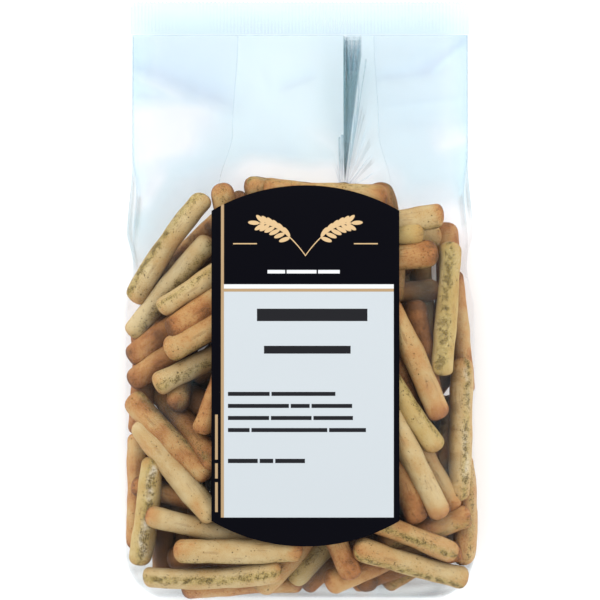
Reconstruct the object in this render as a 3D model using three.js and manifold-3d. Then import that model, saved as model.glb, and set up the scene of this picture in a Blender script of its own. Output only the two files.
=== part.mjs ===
// A sealed clear bag of short herb breadsticks, lying on its back with the label up.
//
// Row frame, in millimetres: the bag lies on Z = 0 with its front panel facing +Z, its
// crimped top seal towards +Y and its rounded bottom end towards -Y. The origin is the
// middle of the bag's footprint. The bag is one closed form: a front and a back panel and
// two side gussets, which the breadsticks push out in the filled part and which fold
// inwards, between the two panels, in the empty head below the seal. The sticks that lie
// against the film, at the front, on both sides and at the bottom end, are fused onto the
// sagging form between them. The paper label is stuck flat on the front.

import * as THREE from "three";
import { mergeVertices } from "three/addons/utils/BufferGeometryUtils.js";
import Module from "manifold-3d";

const { clamp, degToRad, lerp, mapLinear, smoothstep } = THREE.MathUtils;

// ---- Driving dimensions -------------------------------------------------------------

const BAG_LENGTH = 222; // from the rounded bottom end to the cut edge above the seal
const BAG_WIDTH = 130; // across the filled part, at its widest
const HEAD_WIDTH = 126; // across the empty, flattened head
const FILL_DEPTH = 38; // of the filled part, at its deepest
const FILL_END = 38; // where the breadsticks end, as a Y
const HEAD_START = 24; // where the sides begin to fold in towards the head, as a Y

const END_WIDTH = 98; // of the straight stretch of the bottom end, between its corners
const END_ROUND = 17; // how far the bottom corners reach along the bag
const END_HEIGHT = 16; // of the middle of the bottom end above the table
const END_SHUT = 0.14; // share of the full depth that is left where the end is capped

const SEAL_LENGTH = 13; // of the crimped band at the top
const SEAL_THICKNESS = 0.9;
const SEAL_HEIGHT = 7.4; // of the band's underside above the table
const SEAL_CORNER = 3; // radius of the band's two corners
const TOOTH_PITCH = 1.5; // of the zigzag cut along the top edge
const TOOTH_DEPTH = 0.8;

const GUSSET_FOLD = 38; // how far the side gussets fold in, just below the seal
const SIDE_BULGE = 5; // how far a filled side stands out beyond the panels' edges
const SIDE_CREASE = 0.7; // how far the gusset's centre crease is held in on a filled side
const BACK_FLAT = 0.72; // share of the back panel's width that lies flat on the table

const LABEL_WIDTH = 69.4;
const LABEL_SIDE = 114.6; // length of the label's straight sides
const LABEL_ARC = 9.4; // rise of the bowed top and bottom edges
const LABEL_CENTRE = new THREE.Vector2(2, -24.3);
const LABEL_THICKNESS = 0.3;
const LABEL_GAP = 0.3; // clear of the film below
const LABEL_MARGIN = 5; // over which the film sags beside the label

const STICK_RADIUS = 4.4;
const STICK_LENGTH = 46;
const FILM_SAG = 4.4; // of the front film between the sticks, below the panel's crown
const EDGE_SAG = 1.5; // of the film between the sticks on the sides and at the bottom end
const TIER_DEPTH = [0.3, 3, 5.5]; // of the top of a stick of each tier, below the crown

// The sticks that lie behind the front panel, round the label. Each is the middle of a
// stick, its heading in degrees anticlockwise from +X, its length, and its tier: 0 lies
// against the film, and 1 and 2 lie further behind it.
const FRONT_STICKS = [
  // left of the label, from the head down
  { x: -48.6, y: 19.1, heading: 52, length: 48, tier: 0 },
  { x: -49.3, y: 4.6, heading: 45, length: 51, tier: 1 },
  { x: -32.5, y: 10.2, heading: 34, length: 49, tier: 0 },
  { x: -28.9, y: 0.6, heading: 34, length: 48, tier: 0 },
  { x: -27.3, y: -10.8, heading: 29, length: 48, tier: 0 },
  { x: -44.7, y: -19.5, heading: 32, length: 45, tier: 1 },
  { x: -33.6, y: -21.3, heading: 26, length: 46, tier: 1 },
  { x: -43.2, y: -31, heading: 89, length: 40, tier: 1 },
  { x: -50.5, y: -49.5, heading: -42, length: 48, tier: 0 },
  { x: -48, y: -62.7, heading: -40, length: 50, tier: 0 },
  { x: -58.8, y: -76.8, heading: -77, length: 44, tier: 0 },
  { x: -62, y: -70.3, heading: -86, length: 44, tier: 2 },
  // along the bottom end
  { x: -34.9, y: -85.7, heading: -12, length: 47, tier: 0 },
  { x: -23, y: -92.9, heading: 1, length: 48, tier: 0 },
  { x: -32.8, y: -101.8, heading: 0, length: 52, tier: 0 },
  { x: -20.8, y: -106.6, heading: 3, length: 46, tier: 1 },
  { x: -3.5, y: -95.5, heading: 53, length: 44, tier: 1 },
  { x: 11.9, y: -89.6, heading: 39, length: 44, tier: 1 },
  { x: 28.9, y: -96.3, heading: 29, length: 44, tier: 1 },
  { x: 10.8, y: -81.4, heading: -67, length: 49, tier: 0 },
  { x: 41.9, y: -96.3, heading: -8, length: 46, tier: 0 },
  { x: 49, y: -94, heading: 41, length: 45, tier: 2 },
  { x: 37.8, y: -83.8, heading: -18, length: 48, tier: 0 },
  // right of the label, from the bottom up
  { x: 41.9, y: -59.5, heading: -58, length: 48, tier: 0 },
  { x: 37.8, y: -36.4, heading: -55, length: 47, tier: 0 },
  { x: 42.1, y: -22.3, heading: -62, length: 48, tier: 0 },
  { x: 60.3, y: -48.2, heading: 89, length: 53, tier: 0 },
  { x: 51, y: -83.7, heading: 28, length: 45, tier: 1 },
  { x: 30.6, y: 30.8, heading: -1, length: 46, tier: 0 },
  { x: 23.2, y: 22.8, heading: 0, length: 46, tier: 1 },
  { x: 49.7, y: 6.5, heading: 86, length: 46, tier: 2 },
  { x: 27.6, y: 15, heading: 8, length: 48, tier: 0 },
  { x: 45.6, y: -22.3, heading: -81, length: 45, tier: 1 },
  { x: 54, y: -3.2, heading: 86, length: 50, tier: 0 },
  { x: 59.5, y: -12.2, heading: -85, length: 46, tier: 1 },
  // along the top of the fill
  { x: -24.5, y: 21.1, heading: -79, length: 46, tier: 1 },
  { x: 0.4, y: 41.5, heading: 2, length: 48, tier: 1 },
  { x: 12.4, y: 39.1, heading: -7, length: 46, tier: 0 },
];

// The sticks that lie along each side, in two rows from the bottom end up: the height of a
// row, the middles of its sticks along the bag, and how far its sticks slant, in degrees.
const SIDE_ROWS = [
  { height: 9.5, middles: [-70, -22], slant: 3 },
  { height: 19, middles: [-58, -9], slant: -4 },
];

// The sticks that lie across the bottom end, likewise, with their middles along X.
const FOOT_ROWS = [
  { height: 9.5, middles: [-24, 24], slant: -3 },
  { height: 20, middles: [-2], slant: 4 },
];

// ---- Lengthwise profile -------------------------------------------------------------

const BOTTOM = -BAG_LENGTH / 2;
const TOP = BAG_LENGTH / 2;
const SEAL_START = TOP - SEAL_LENGTH;
const MID_SEAL = SEAL_HEIGHT + SEAL_THICKNESS / 2;

// A curve through [place, value] pairs that is level at each of them.
function steps(knots) {
  return (at) => {
    if (at <= knots[0][0]) return knots[0][1];
    for (let i = 1; i < knots.length; i++) {
      const [from, low] = knots[i - 1];
      const [to, high] = knots[i];
      if (at <= to) return lerp(low, high, smoothstep(at, from, to));
    }
    return knots[knots.length - 1][1];
  };
}

// A smooth curve through [place, value] pairs that runs on through each of them.
function slope(knots) {
  const places = knots.map(([at, value]) => new THREE.Vector3(at, value, 0));
  const samples = new THREE.CatmullRomCurve3(places, false, "centripetal").getPoints(400);
  return (at) => {
    const after = samples.findIndex((p) => p.x >= at);
    if (after <= 0) return samples[after < 0 ? samples.length - 1 : 0].y;
    const [a, b] = [samples[after - 1], samples[after]];
    return mapLinear(at, a.x, b.x, a.y, b.y);
  };
}

// Heights above the table: the front panel's middle line and edges, then the back panel's.
const frontMiddle = slope([
  [BOTTOM, FILL_DEPTH - 5],
  [-85, FILL_DEPTH - 2],
  [-45, FILL_DEPTH],
  [-5, FILL_DEPTH - 1],
  [FILL_END, FILL_DEPTH - 7.5],
  [62, 20],
  [SEAL_START, MID_SEAL + 1.5],
]);
const frontEdge = slope([
  [BOTTOM, 24],
  [-45, 25],
  [5, 23],
  [FILL_END, 18],
  [65, 13],
  [SEAL_START, MID_SEAL + 1],
]);
const backEdge = slope([
  [BOTTOM, 7],
  [5, 7],
  [FILL_END, 6],
  [65, 5.5],
  [SEAL_START, MID_SEAL - 1],
]);
const backMiddle = steps([
  [FILL_END, 0],
  [SEAL_START, MID_SEAL - 1.5],
]);

// How the two sides bulge out where the bag is full, and fold in where it is empty.
const sideBulge = steps([
  [HEAD_START - 18, SIDE_BULGE],
  [HEAD_START + 8, 0],
]);
const sideCrease = steps([
  [HEAD_START - 10, SIDE_CREASE],
  [HEAD_START, 0],
]);
const gussetDepth = steps([
  [HEAD_START - 4, 0],
  [FILL_END + 6, 0.84 * GUSSET_FOLD],
  [FILL_END + 24, 0.95 * GUSSET_FOLD],
  [SEAL_START, GUSSET_FOLD],
]);
const edgeSag = steps([
  [HEAD_START - 18, EDGE_SAG],
  [HEAD_START, 0],
]);
const widest = steps([
  [HEAD_START, BAG_WIDTH / 2],
  [FILL_END + 14, HEAD_WIDTH / 2],
]);

// Half the distance between the two edges of a panel.
const halfWidth = (y) => widest(y) - sideBulge(y);

// How far the rounded bottom end has opened at this place: 0 at the end, 1 in the body.
function opened(y) {
  const closeness = clamp(1 - (y - BOTTOM - EDGE_SAG) / END_ROUND, 0, 1);
  return Math.sqrt(1 - closeness ** 2);
}

// ---- The film over the sticks -------------------------------------------------------

// Half the label's outline: how far it reaches along the bag at this distance sideways.
function labelReach(aside) {
  const radius = (LABEL_WIDTH / 2) ** 2 / (2 * LABEL_ARC) + LABEL_ARC / 2;
  const bow = Math.sqrt(Math.max(0, radius ** 2 - aside ** 2));
  return LABEL_SIDE / 2 + LABEL_ARC - radius + bow;
}

// 0 under the label, rising to 1 where the film is free to sag between the sticks.
function freeFilm(x, y) {
  const aside = Math.abs(x - LABEL_CENTRE.x);
  const along = Math.abs(y - LABEL_CENTRE.y);
  const outside = Math.max(aside - LABEL_WIDTH / 2, along - labelReach(aside));
  return smoothstep(outside, 0, LABEL_MARGIN);
}

// ---- Cross-sections -----------------------------------------------------------------

const FRONT_STEPS = 26;
const SIDE_STEPS = 8;
const BACK_STEPS = 8;
const RIM = 0.8; // share of the half-width from which the sag grows less towards the edge

// Shares from -1 to 1 across a panel, closer together near its two edges.
function acrossPanel(count) {
  const even = Array.from({ length: count + 1 }, (_, i) => (2 * i) / count - 1);
  return even.map((u) => 0.4 * u + 0.6 * Math.sin((u * Math.PI) / 2));
}

const FRONT_SHARES = acrossPanel(FRONT_STEPS);
const BACK_SHARES = acrossPanel(BACK_STEPS).reverse();
const SIDE_SHARES = Array.from({ length: SIDE_STEPS - 1 }, (_, i) => (i + 1) / SIDE_STEPS);

// Height of the front panel at a share u of its half-width, before the film sags.
function crownHeight(u, y) {
  return lerp(frontEdge(y), frontMiddle(y), Math.sqrt(1 - Math.abs(u) ** 3));
}

// Height of the back panel, which lies flat up to its rounded edges.
function backHeight(u, y) {
  const round = Math.max(0, (Math.abs(u) - BACK_FLAT) / (1 - BACK_FLAT));
  return lerp(backEdge(y), backMiddle(y), Math.sqrt(1 - round ** 2));
}

// How far a side stands out beyond the panels' edges, at a share of the way down it.
function sideReach(down, y) {
  const off = Math.abs(2 * down - 1);
  const bulge = sideBulge(y) * Math.sqrt(1 - off ** 4);
  const pinched = sideCrease(y) * (1 - smoothstep(off, 0, 0.25));
  return bulge - pinched - gussetDepth(y) * (1 - off);
}

// A ring from the outline's four stretches: front, right side, back and left side. Each
// side is given once, for the right, and mirrored for the left.
function ring(y, front, side, back) {
  const left = side.map(([x, z]) => [-x, z]).reverse();
  return [...front, ...side, ...back, ...left].map(([x, z]) => new THREE.Vector3(x, y, z));
}

// The outline of the bag between the sticks at y.
function section(y) {
  const open = opened(y);
  const atEdge = edgeSag(y);
  const reach = lerp(END_WIDTH / 2, halfWidth(y), open);
  const filled = 1 - smoothstep(y, FILL_END - 6, FILL_END + 10);
  const rise = (z) => lerp(END_HEIGHT, z, Math.max(open, END_SHUT));
  const front = FRONT_SHARES.map((u) => {
    const sag = FILM_SAG * freeFilm(reach * u, y) * filled;
    const kept = lerp(sag, atEdge, smoothstep(Math.abs(u), RIM, 1));
    return [reach * u, rise(crownHeight(u, y) - kept * open)];
  });
  const side = SIDE_SHARES.map((down) => {
    const z = lerp(frontEdge(y) - atEdge, backEdge(y), down);
    return [reach + (sideReach(down, y) - atEdge) * open, rise(z)];
  });
  const back = BACK_SHARES.map((u) => [reach * u, rise(backHeight(u, y))]);
  return ring(y, front, side, back);
}

// The outline of the flat crimped band, with the same number of points.
function sealSection(y) {
  const past = Math.max(0, y - (TOP - SEAL_CORNER));
  const half = HEAD_WIDTH / 2 - SEAL_CORNER + Math.sqrt(SEAL_CORNER ** 2 - past ** 2);
  const upper = SEAL_HEIGHT + SEAL_THICKNESS;
  const front = FRONT_SHARES.map((u) => [half * u, upper]);
  const side = SIDE_SHARES.map((down) => [half, lerp(upper, SEAL_HEIGHT, down)]);
  const back = BACK_SHARES.map((u) => [half * u, SEAL_HEIGHT]);
  return ring(y, front, side, back);
}

// ---- Solids -------------------------------------------------------------------------

// A closed geometry through rings of equally many points, each end shut by a fan. Each
// four-sided face is split along its shorter diagonal, so that slanting forms stay even.
function loft(rings) {
  const around = rings[0].length;
  const points = rings.flat();
  const triangles = [];
  const addFan = (start, pointsOn) => {
    const middle = new THREE.Vector3();
    for (let i = 0; i < around; i++) middle.addScaledVector(points[start + i], 1 / around);
    const hub = points.push(middle) - 1;
    for (let i = 0; i < around; i++) {
      const [a, b] = [start + i, start + ((i + 1) % around)];
      triangles.push(...(pointsOn ? [a, b, hub] : [b, a, hub]));
    }
  };
  for (let r = 0; r + 1 < rings.length; r++) {
    for (let i = 0; i < around; i++) {
      const [a, b] = [r * around + i, r * around + ((i + 1) % around)];
      const [c, d] = [b + around, a + around];
      const rising = points[a].distanceTo(points[c]) < points[b].distanceTo(points[d]);
      triangles.push(...(rising ? [a, b, c, a, c, d] : [a, b, d, b, c, d]));
    }
  }
  addFan(0, false);
  addFan((rings.length - 1) * around, true);
  const geometry = new THREE.BufferGeometry().setFromPoints(points);
  geometry.setIndex(triangles);
  geometry.computeVertexNormals();
  return geometry;
}

const wasm = await Module();
wasm.setup();

// A closed three.js geometry as a solid that can be cut.
function solidOf(geometry) {
  const bare = geometry.clone();
  bare.deleteAttribute("normal");
  bare.deleteAttribute("uv");
  const merged = mergeVertices(bare, 1e-4);
  const triVerts = new Uint32Array(merged.index.array);
  const vertProperties = merged.attributes.position.array;
  return new wasm.Manifold(new wasm.Mesh({ numProp: 3, vertProperties, triVerts }));
}

// A cut solid as a three.js geometry again.
function geometryOf(solid) {
  const { vertProperties, triVerts } = solid.getMesh();
  const geometry = new THREE.BufferGeometry();
  geometry.setAttribute("position", new THREE.BufferAttribute(vertProperties, 3));
  geometry.setIndex(new THREE.BufferAttribute(triVerts, 1));
  geometry.computeVertexNormals();
  return geometry;
}

// The comb that cuts the zigzag along the top edge.
function toothCutter() {
  const teeth = Math.round(HEAD_WIDTH / TOOTH_PITCH) + 2;
  const left = (-teeth * TOOTH_PITCH) / 2;
  const outline = new THREE.Shape();
  outline.moveTo(left, TOP + 2);
  for (let i = 0; i <= teeth; i++) {
    outline.lineTo(left + i * TOOTH_PITCH, TOP);
    if (i < teeth) outline.lineTo(left + (i + 0.5) * TOOTH_PITCH, TOP - TOOTH_DEPTH);
  }
  outline.lineTo(-left, TOP + 2);
  outline.closePath();
  const height = 4 * SEAL_THICKNESS;
  const comb = new THREE.ExtrudeGeometry(outline, { depth: height, bevelEnabled: false });
  return comb.translate(0, 0, MID_SEAL - height / 2);
}

// A breadstick from one end of its spine to the other: a rod with rounded ends.
function stickGeometry(from, to) {
  const rod = new THREE.CapsuleGeometry(STICK_RADIUS, from.distanceTo(to), 2, 9);
  const heading = to.clone().sub(from).normalize();
  const turn = new THREE.Quaternion().setFromUnitVectors(new THREE.Vector3(0, 1, 0), heading);
  const middle = from.clone().lerp(to, 0.5);
  return rod.applyQuaternion(turn).translate(middle.x, middle.y, middle.z);
}

// How far from the middle a spine may lie at y, clear of the sides and of the two corners.
function insideReach(y) {
  const open = opened(y + EDGE_SAG - STICK_RADIUS);
  return lerp(END_WIDTH / 2, halfWidth(y) + sideBulge(y), open) - STICK_RADIUS;
}

// A stick behind the front panel, whose spine keeps its depth below the crown at each end.
function frontStick({ x, y, heading, length, tier }) {
  const angle = degToRad(heading);
  const [from, to] = [-1, 1].map((end) => {
    const along = end * (length / 2 - STICK_RADIUS);
    const endY = Math.max(y + along * Math.sin(angle), BOTTOM + STICK_RADIUS);
    const most = insideReach(endY);
    const endX = clamp(x + along * Math.cos(angle), -most, most);
    const crown = crownHeight(clamp(endX / halfWidth(endY), -1, 1), endY);
    return new THREE.Vector3(endX, endY, crown - TIER_DEPTH[tier] - STICK_RADIUS);
  });
  return stickGeometry(from, to);
}

// A row of sticks: placeAt gives the spine's point for a place along the row and a height.
function stickRow({ height, middles, slant }, placeAt) {
  const half = STICK_LENGTH / 2 - STICK_RADIUS;
  const rise = half * Math.tan(degToRad(slant));
  const endAt = (middle, end) => placeAt(middle + end * half, height + end * rise);
  return middles.map((middle) => stickGeometry(endAt(middle, -1), endAt(middle, 1)));
}

// The point of a spine on one side of the bag (1 or -1) that touches the side's full bulge.
function onSide(side, y, z) {
  const down = (frontEdge(y) - z) / (frontEdge(y) - backEdge(y));
  const reach = halfWidth(y) + sideReach(down, y) - STICK_RADIUS;
  return new THREE.Vector3(side * reach, y, z);
}

const onFoot = (x, z) => new THREE.Vector3(x, BOTTOM + STICK_RADIUS, z);

// Every stick that lies against the film.
function stickGeometries() {
  return [
    ...FRONT_STICKS.map(frontStick),
    ...[-1, 1].flatMap((side) => SIDE_ROWS.flatMap((row) => stickRow(row, (y, z) => onSide(side, y, z)))),
    ...FOOT_ROWS.flatMap((row) => stickRow(row, onFoot)),
  ];
}

// Evenly spaced values from one up to, but without, the other.
const evenly = (from, to, count) => Array.from({ length: count }, (_, i) => lerp(from, to, i / count));

// The bag: the form between the sticks, from the bottom end to the crimped band, with the
// sticks fused on.
function bagGeometry() {
  const start = BOTTOM + EDGE_SAG;
  const endAngles = evenly(0, Math.PI / 2, 7);
  const places = [
    ...endAngles.map((angle) => start + END_ROUND * (1 - Math.cos(angle))),
    ...evenly(start + END_ROUND, FILL_END + 16, 32),
    ...evenly(FILL_END + 16, SEAL_START, 8),
  ];
  const cornerAngles = evenly(0, Math.PI / 2, 3);
  const bands = [SEAL_START, ...cornerAngles.map((angle) => TOP - SEAL_CORNER * (1 - Math.sin(angle)))];
  const rings = [...places.map(section), ...bands.map(sealSection), sealSection(TOP)];
  const film = solidOf(loft(rings)).subtract(solidOf(toothCutter()));
  return geometryOf(wasm.Manifold.union([film, ...stickGeometries().map(solidOf)]));
}

// The label: a thin plate bowed at top and bottom, lying on the crown of the front.
function labelGeometry() {
  const columns = 14;
  const rows = 20;
  const place = (aside, along, lift) => {
    const x = LABEL_CENTRE.x + aside;
    const y = LABEL_CENTRE.y + along * labelReach(aside);
    const film = crownHeight(clamp(x / halfWidth(y), -1, 1), y);
    return new THREE.Vector3(x, y, film + LABEL_GAP + lift);
  };
  const geometry = new THREE.BoxGeometry(LABEL_WIDTH, 2, 1, columns, rows, 1);
  const position = geometry.attributes.position;
  for (let i = 0; i < position.count; i++) {
    const lift = (position.getZ(i) + 0.5) * LABEL_THICKNESS;
    position.setXYZ(i, ...place(position.getX(i), position.getY(i), lift));
  }
  geometry.computeVertexNormals();
  return geometry;
}

// ---- The part -----------------------------------------------------------------------

const filmOverBread = new THREE.MeshStandardMaterial({
  name: "filled_bag",
  color: 0xd8b47c,
  roughness: 0.35,
});
const paper = new THREE.MeshStandardMaterial({
  name: "label_paper",
  color: 0x1b1c24,
  roughness: 0.45,
});

function named(name, geometry, material) {
  const mesh = new THREE.Mesh(geometry, material);
  mesh.name = name;
  return mesh;
}

const bagOfBreadsticks = new THREE.Group();
bagOfBreadsticks.add(named("bag", bagGeometry(), filmOverBread));
bagOfBreadsticks.add(named("label", labelGeometry(), paper));

export default bagOfBreadsticks;
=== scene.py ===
"""Looks of a sealed clear bag of short herb breadsticks, lying on its back.

The bag is 108 baked sticks in a heap, a clear film shrunk tight over them, a
crimped seal across the film's top and a printed paper label on its front. Everything is
in metres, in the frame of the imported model: +Y towards the seal, +Z out of the front.
"""

from __future__ import annotations

import logging
import math
import sys
from collections.abc import Callable, Iterable
from dataclasses import dataclass, field
from enum import Enum

import bpy
import numpy as np
from mathutils import Matrix, Vector
from mathutils.bvhtree import BVHTree


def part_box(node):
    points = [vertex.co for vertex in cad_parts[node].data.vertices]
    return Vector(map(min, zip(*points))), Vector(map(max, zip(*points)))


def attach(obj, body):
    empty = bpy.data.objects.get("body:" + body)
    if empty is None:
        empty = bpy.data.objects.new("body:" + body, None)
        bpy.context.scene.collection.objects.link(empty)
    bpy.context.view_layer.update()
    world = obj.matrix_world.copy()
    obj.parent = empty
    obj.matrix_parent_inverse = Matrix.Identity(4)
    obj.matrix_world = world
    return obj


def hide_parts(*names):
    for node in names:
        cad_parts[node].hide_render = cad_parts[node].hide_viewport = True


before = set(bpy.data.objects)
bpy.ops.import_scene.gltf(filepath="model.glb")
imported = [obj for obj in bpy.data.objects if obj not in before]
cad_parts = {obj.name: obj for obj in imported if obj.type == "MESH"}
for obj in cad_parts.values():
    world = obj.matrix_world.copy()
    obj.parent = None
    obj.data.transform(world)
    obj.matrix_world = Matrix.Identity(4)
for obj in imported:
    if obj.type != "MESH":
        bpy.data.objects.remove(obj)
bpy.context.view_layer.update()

MM = 0.001
TAU = 2.0 * math.pi
BODY = "root"
LOG = logging.getLogger("breadstick_bag")


# ---- Shader maths -------------------------------------------------------------------


class Wire:
    """One output socket in a material, which takes part in Python arithmetic."""

    def __init__(self, graph: "Graph", socket: bpy.types.NodeSocket) -> None:
        """Keeps the socket and the graph that it belongs to."""
        self.graph = graph
        self.socket = socket

    def _math(self, operation: str, *values: "Wire | float") -> "Wire":
        """Adds one Math node.

        Args:
            operation: The Math node's operation.
            values: The values or wires of its inputs, in order.

        Returns:
            The node's output.
        """
        return self.graph.node("Math", {"operation": operation}, dict(enumerate(values)))[0]

    def __add__(self, other: "Wire | float") -> "Wire":
        """self + other."""
        return self._math("ADD", self, other)

    __radd__ = __add__

    def __sub__(self, other: "Wire | float") -> "Wire":
        """self - other."""
        return self._math("SUBTRACT", self, other)

    def __rsub__(self, other: float) -> "Wire":
        """other - self."""
        return self._math("SUBTRACT", other, self)

    def __mul__(self, other: "Wire | float") -> "Wire":
        """self * other."""
        return self._math("MULTIPLY", self, other)

    __rmul__ = __mul__

    def __truediv__(self, other: "Wire | float") -> "Wire":
        """self / other."""
        return self._math("DIVIDE", self, other)

    def __rtruediv__(self, other: float) -> "Wire":
        """other / self."""
        return self._math("DIVIDE", other, self)

    def __pow__(self, other: "Wire | float") -> "Wire":
        """self to the power other."""
        return self._math("POWER", self, other)

    def __abs__(self) -> "Wire":
        """The size of self."""
        return self._math("ABSOLUTE", self)

    def __gt__(self, other: "Wire | float") -> "Wire":
        """1 where self is over other, else 0."""
        return self._math("GREATER_THAN", self, other)

    def __lt__(self, other: "Wire | float") -> "Wire":
        """1 where self is under other, else 0."""
        return self._math("LESS_THAN", self, other)

    def low(self, other: "Wire | float") -> "Wire":
        """The lower of self and other."""
        return self._math("MINIMUM", self, other)

    def high(self, other: "Wire | float") -> "Wire":
        """The higher of self and other."""
        return self._math("MAXIMUM", self, other)

    def clamp(self) -> "Wire":
        """self held between 0 and 1."""
        return self.low(1.0).high(0.0)

    def rise(self, start: float, end: float) -> "Wire":
        """A smooth step of self, 0 at start and 1 at end.

        Args:
            start: Where the step starts; it may be above end.
            end: Where the step is done.

        Returns:
            The step.
        """
        inputs = {"Value": self, "From Min": start, "From Max": end}
        return self.graph.node("MapRange", {"interpolation_type": "SMOOTHSTEP"}, inputs)[0]

    def times(self, scale: tuple[float, float, float]) -> "Wire":
        """self, a vector, scaled on each axis."""
        return self.graph.node("VectorMath", {"operation": "MULTIPLY"}, {0: self, 1: scale})[0]


class Graph:
    """The node tree of one material, or of the room round the object."""

    def __init__(self, name: str, room: bool = False) -> None:
        """Starts an empty material of that name, or an empty world."""
        self.owner = bpy.data.worlds.new(name) if room else bpy.data.materials.new(name)
        self.owner.use_nodes = True
        self.tree = self.owner.node_tree
        self.tree.nodes.clear()

    def node(self, kind: str, settings: dict | None = None, inputs: dict | None = None) -> list[Wire]:
        """Adds a shader node.

        Args:
            kind: The node's type, without its ShaderNode prefix.
            settings: Properties to set first; "ramp" holds a ramp's (place, colour) stops.
            inputs: Values or wires for its sockets, by name or number.

        Returns:
            One wire for each of the node's outputs that is switched on.
        """
        node = self.tree.nodes.new("ShaderNode" + kind)
        for name, value in (settings or {}).items():
            if name == "ramp":
                self._fill_ramp(node.color_ramp, value)
            else:
                setattr(node, name, value)
        for key, value in (inputs or {}).items():
            socket = node.inputs[key]
            if isinstance(value, Wire):
                self.tree.links.new(value.socket, socket)
            else:
                socket.default_value = value
        return [Wire(self, socket) for socket in node.outputs if socket.enabled]

    @staticmethod
    def _fill_ramp(ramp: bpy.types.ColorRamp, stops: Iterable[tuple[float, tuple]]) -> None:
        """Gives a colour ramp its (place, colour) stops."""
        for index, (place, colour) in enumerate(stops):
            stop = ramp.elements[index] if index < 2 else ramp.elements.new(place)
            stop.position = place
            stop.color = (*colour[:3], 1.0)

    def mix(self, share: Wire | float, under: object, over: object) -> Wire:
        """Blends two colours, as (r, g, b) or wires, by a share from 0, under, to 1, over."""
        pair = [value if isinstance(value, Wire) else (*value[:3], 1.0) for value in (under, over)]
        inputs = {0: share, 6: pair[0], 7: pair[1]}
        return self.node("Mix", {"data_type": "RGBA"}, inputs)[0]

    def noise(self, place: Wire, scale: float, detail: float = 2.0, roughness: float = 0.5) -> Wire:
        """Smooth noise from about 0.3 to 0.7, with features about 1 / scale metres wide."""
        inputs = {"Vector": place, "Scale": scale, "Detail": detail, "Roughness": roughness}
        return self.node("TexNoise", {}, inputs)[0]

    def cells(self, place: Wire, scale: float) -> list[Wire]:
        """Voronoi cells: the distance from each one's middle, and its random colour."""
        return self.node("TexVoronoi", {}, {"Vector": place, "Scale": scale})[:2]

    def bump(self, height: Wire, depth: float, strength: float = 1.0) -> Wire:
        """A surface normal from a height of 0 to 1 that stands for depth metres."""
        inputs = {"Strength": strength, "Distance": depth, "Height": height}
        return self.node("Bump", {}, inputs)[0]

    def finish(self, shader: Wire) -> bpy.types.Material | bpy.types.World:
        """Links the shader to the output and returns the material or world."""
        kind = "OutputWorld" if isinstance(self.owner, bpy.types.World) else "OutputMaterial"
        self.node(kind, {}, {"Surface": shader})
        return self.owner


def linear(red: int, green: int, blue: int) -> tuple[float, float, float]:
    """A colour given in display values of 0 to 255, as linear light."""

    def one(value: int) -> float:
        """One channel, by the sRGB curve."""
        share = value / 255.0
        return share / 12.92 if share <= 0.04045 else ((share + 0.055) / 1.055) ** 2.4

    return (one(red), one(green), one(blue))


# ---- Mesh helpers -------------------------------------------------------------------


def only(piece: bpy.types.Object) -> bpy.types.Object:
    """Deselects everything, then selects a piece and makes it active."""
    bpy.ops.object.select_all(action="DESELECT")
    piece.select_set(True)
    bpy.context.view_layer.objects.active = piece
    return piece


def added(name: str, operator: Callable[..., set], **options: object) -> bpy.types.Object:
    """Adds a primitive with nothing else selected.

    Args:
        name: The new object's name.
        operator: The bpy.ops call that adds it.
        options: What the operator is called with.

    Returns:
        The new object.
    """
    bpy.ops.object.select_all(action="DESELECT")
    operator(**options)
    piece = bpy.context.active_object
    piece.name = name
    piece.data.name = name
    return piece


def points_of(piece: bpy.types.Object) -> np.ndarray:
    """The piece's vertices as an (n, 3) array."""
    flat = np.empty(len(piece.data.vertices) * 3)
    piece.data.vertices.foreach_get("co", flat)
    return flat.reshape(-1, 3)


def place_points(piece: bpy.types.Object, points: np.ndarray) -> None:
    """Moves the piece's vertices to an (n, 3) array."""
    piece.data.vertices.foreach_set("co", np.ascontiguousarray(points, dtype=float).ravel())
    piece.data.update()


def store_values(piece: bpy.types.Object, name: str, values: np.ndarray) -> None:
    """Stores one number for each of the piece's vertices as an attribute."""
    piece.data.attributes.new(name, "FLOAT", "POINT").data.foreach_set("value", values)


def modified(piece: bpy.types.Object, kind: str, **settings: object) -> None:
    """Adds a modifier with those settings and applies it."""
    only(piece)
    modifier = piece.modifiers.new(kind.lower(), kind)
    for name, value in settings.items():
        setattr(modifier, name, value)
    bpy.ops.object.modifier_apply(modifier=modifier.name)


def in_edit_mode(piece: bpy.types.Object, *steps: Callable[[], object]) -> None:
    """Selects the whole of a piece's mesh and runs edit-mode steps on it."""
    only(piece)
    bpy.ops.object.mode_set(mode="EDIT")
    bpy.ops.mesh.select_all(action="SELECT")
    for step in steps:
        step()
    bpy.ops.object.mode_set(mode="OBJECT")


def smooth_shaded(piece: bpy.types.Object, angle: float = 40.0) -> None:
    """Shades a piece smooth, with edges over the angle, in degrees, kept sharp."""
    only(piece)
    bpy.ops.object.shade_smooth_by_angle(angle=math.radians(angle), keep_sharp_edges=False)


def handed_over(piece: bpy.types.Object, node: str, material: bpy.types.Material) -> None:
    """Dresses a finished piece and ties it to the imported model.

    Args:
        piece: The finished piece.
        node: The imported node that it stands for.
        material: The piece's finish.
    """
    piece.data.materials.clear()
    piece.data.materials.append(material)
    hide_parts(node)
    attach(piece, BODY)
    LOG.info("%s: %d faces", piece.name, len(piece.data.polygons))


# ---- The bag's form -----------------------------------------------------------------


def smoothstep(value: np.ndarray, start: float, end: float) -> np.ndarray:
    """A smooth step of value, 0 at start and 1 at end."""
    share = np.clip((value - start) / (end - start), 0.0, 1.0)
    return share * share * (3.0 - 2.0 * share)


def lerp(low: np.ndarray, high: np.ndarray, share: np.ndarray) -> np.ndarray:
    """The value that lies a share of the way from low to high."""
    return low + (high - low) * share


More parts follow.
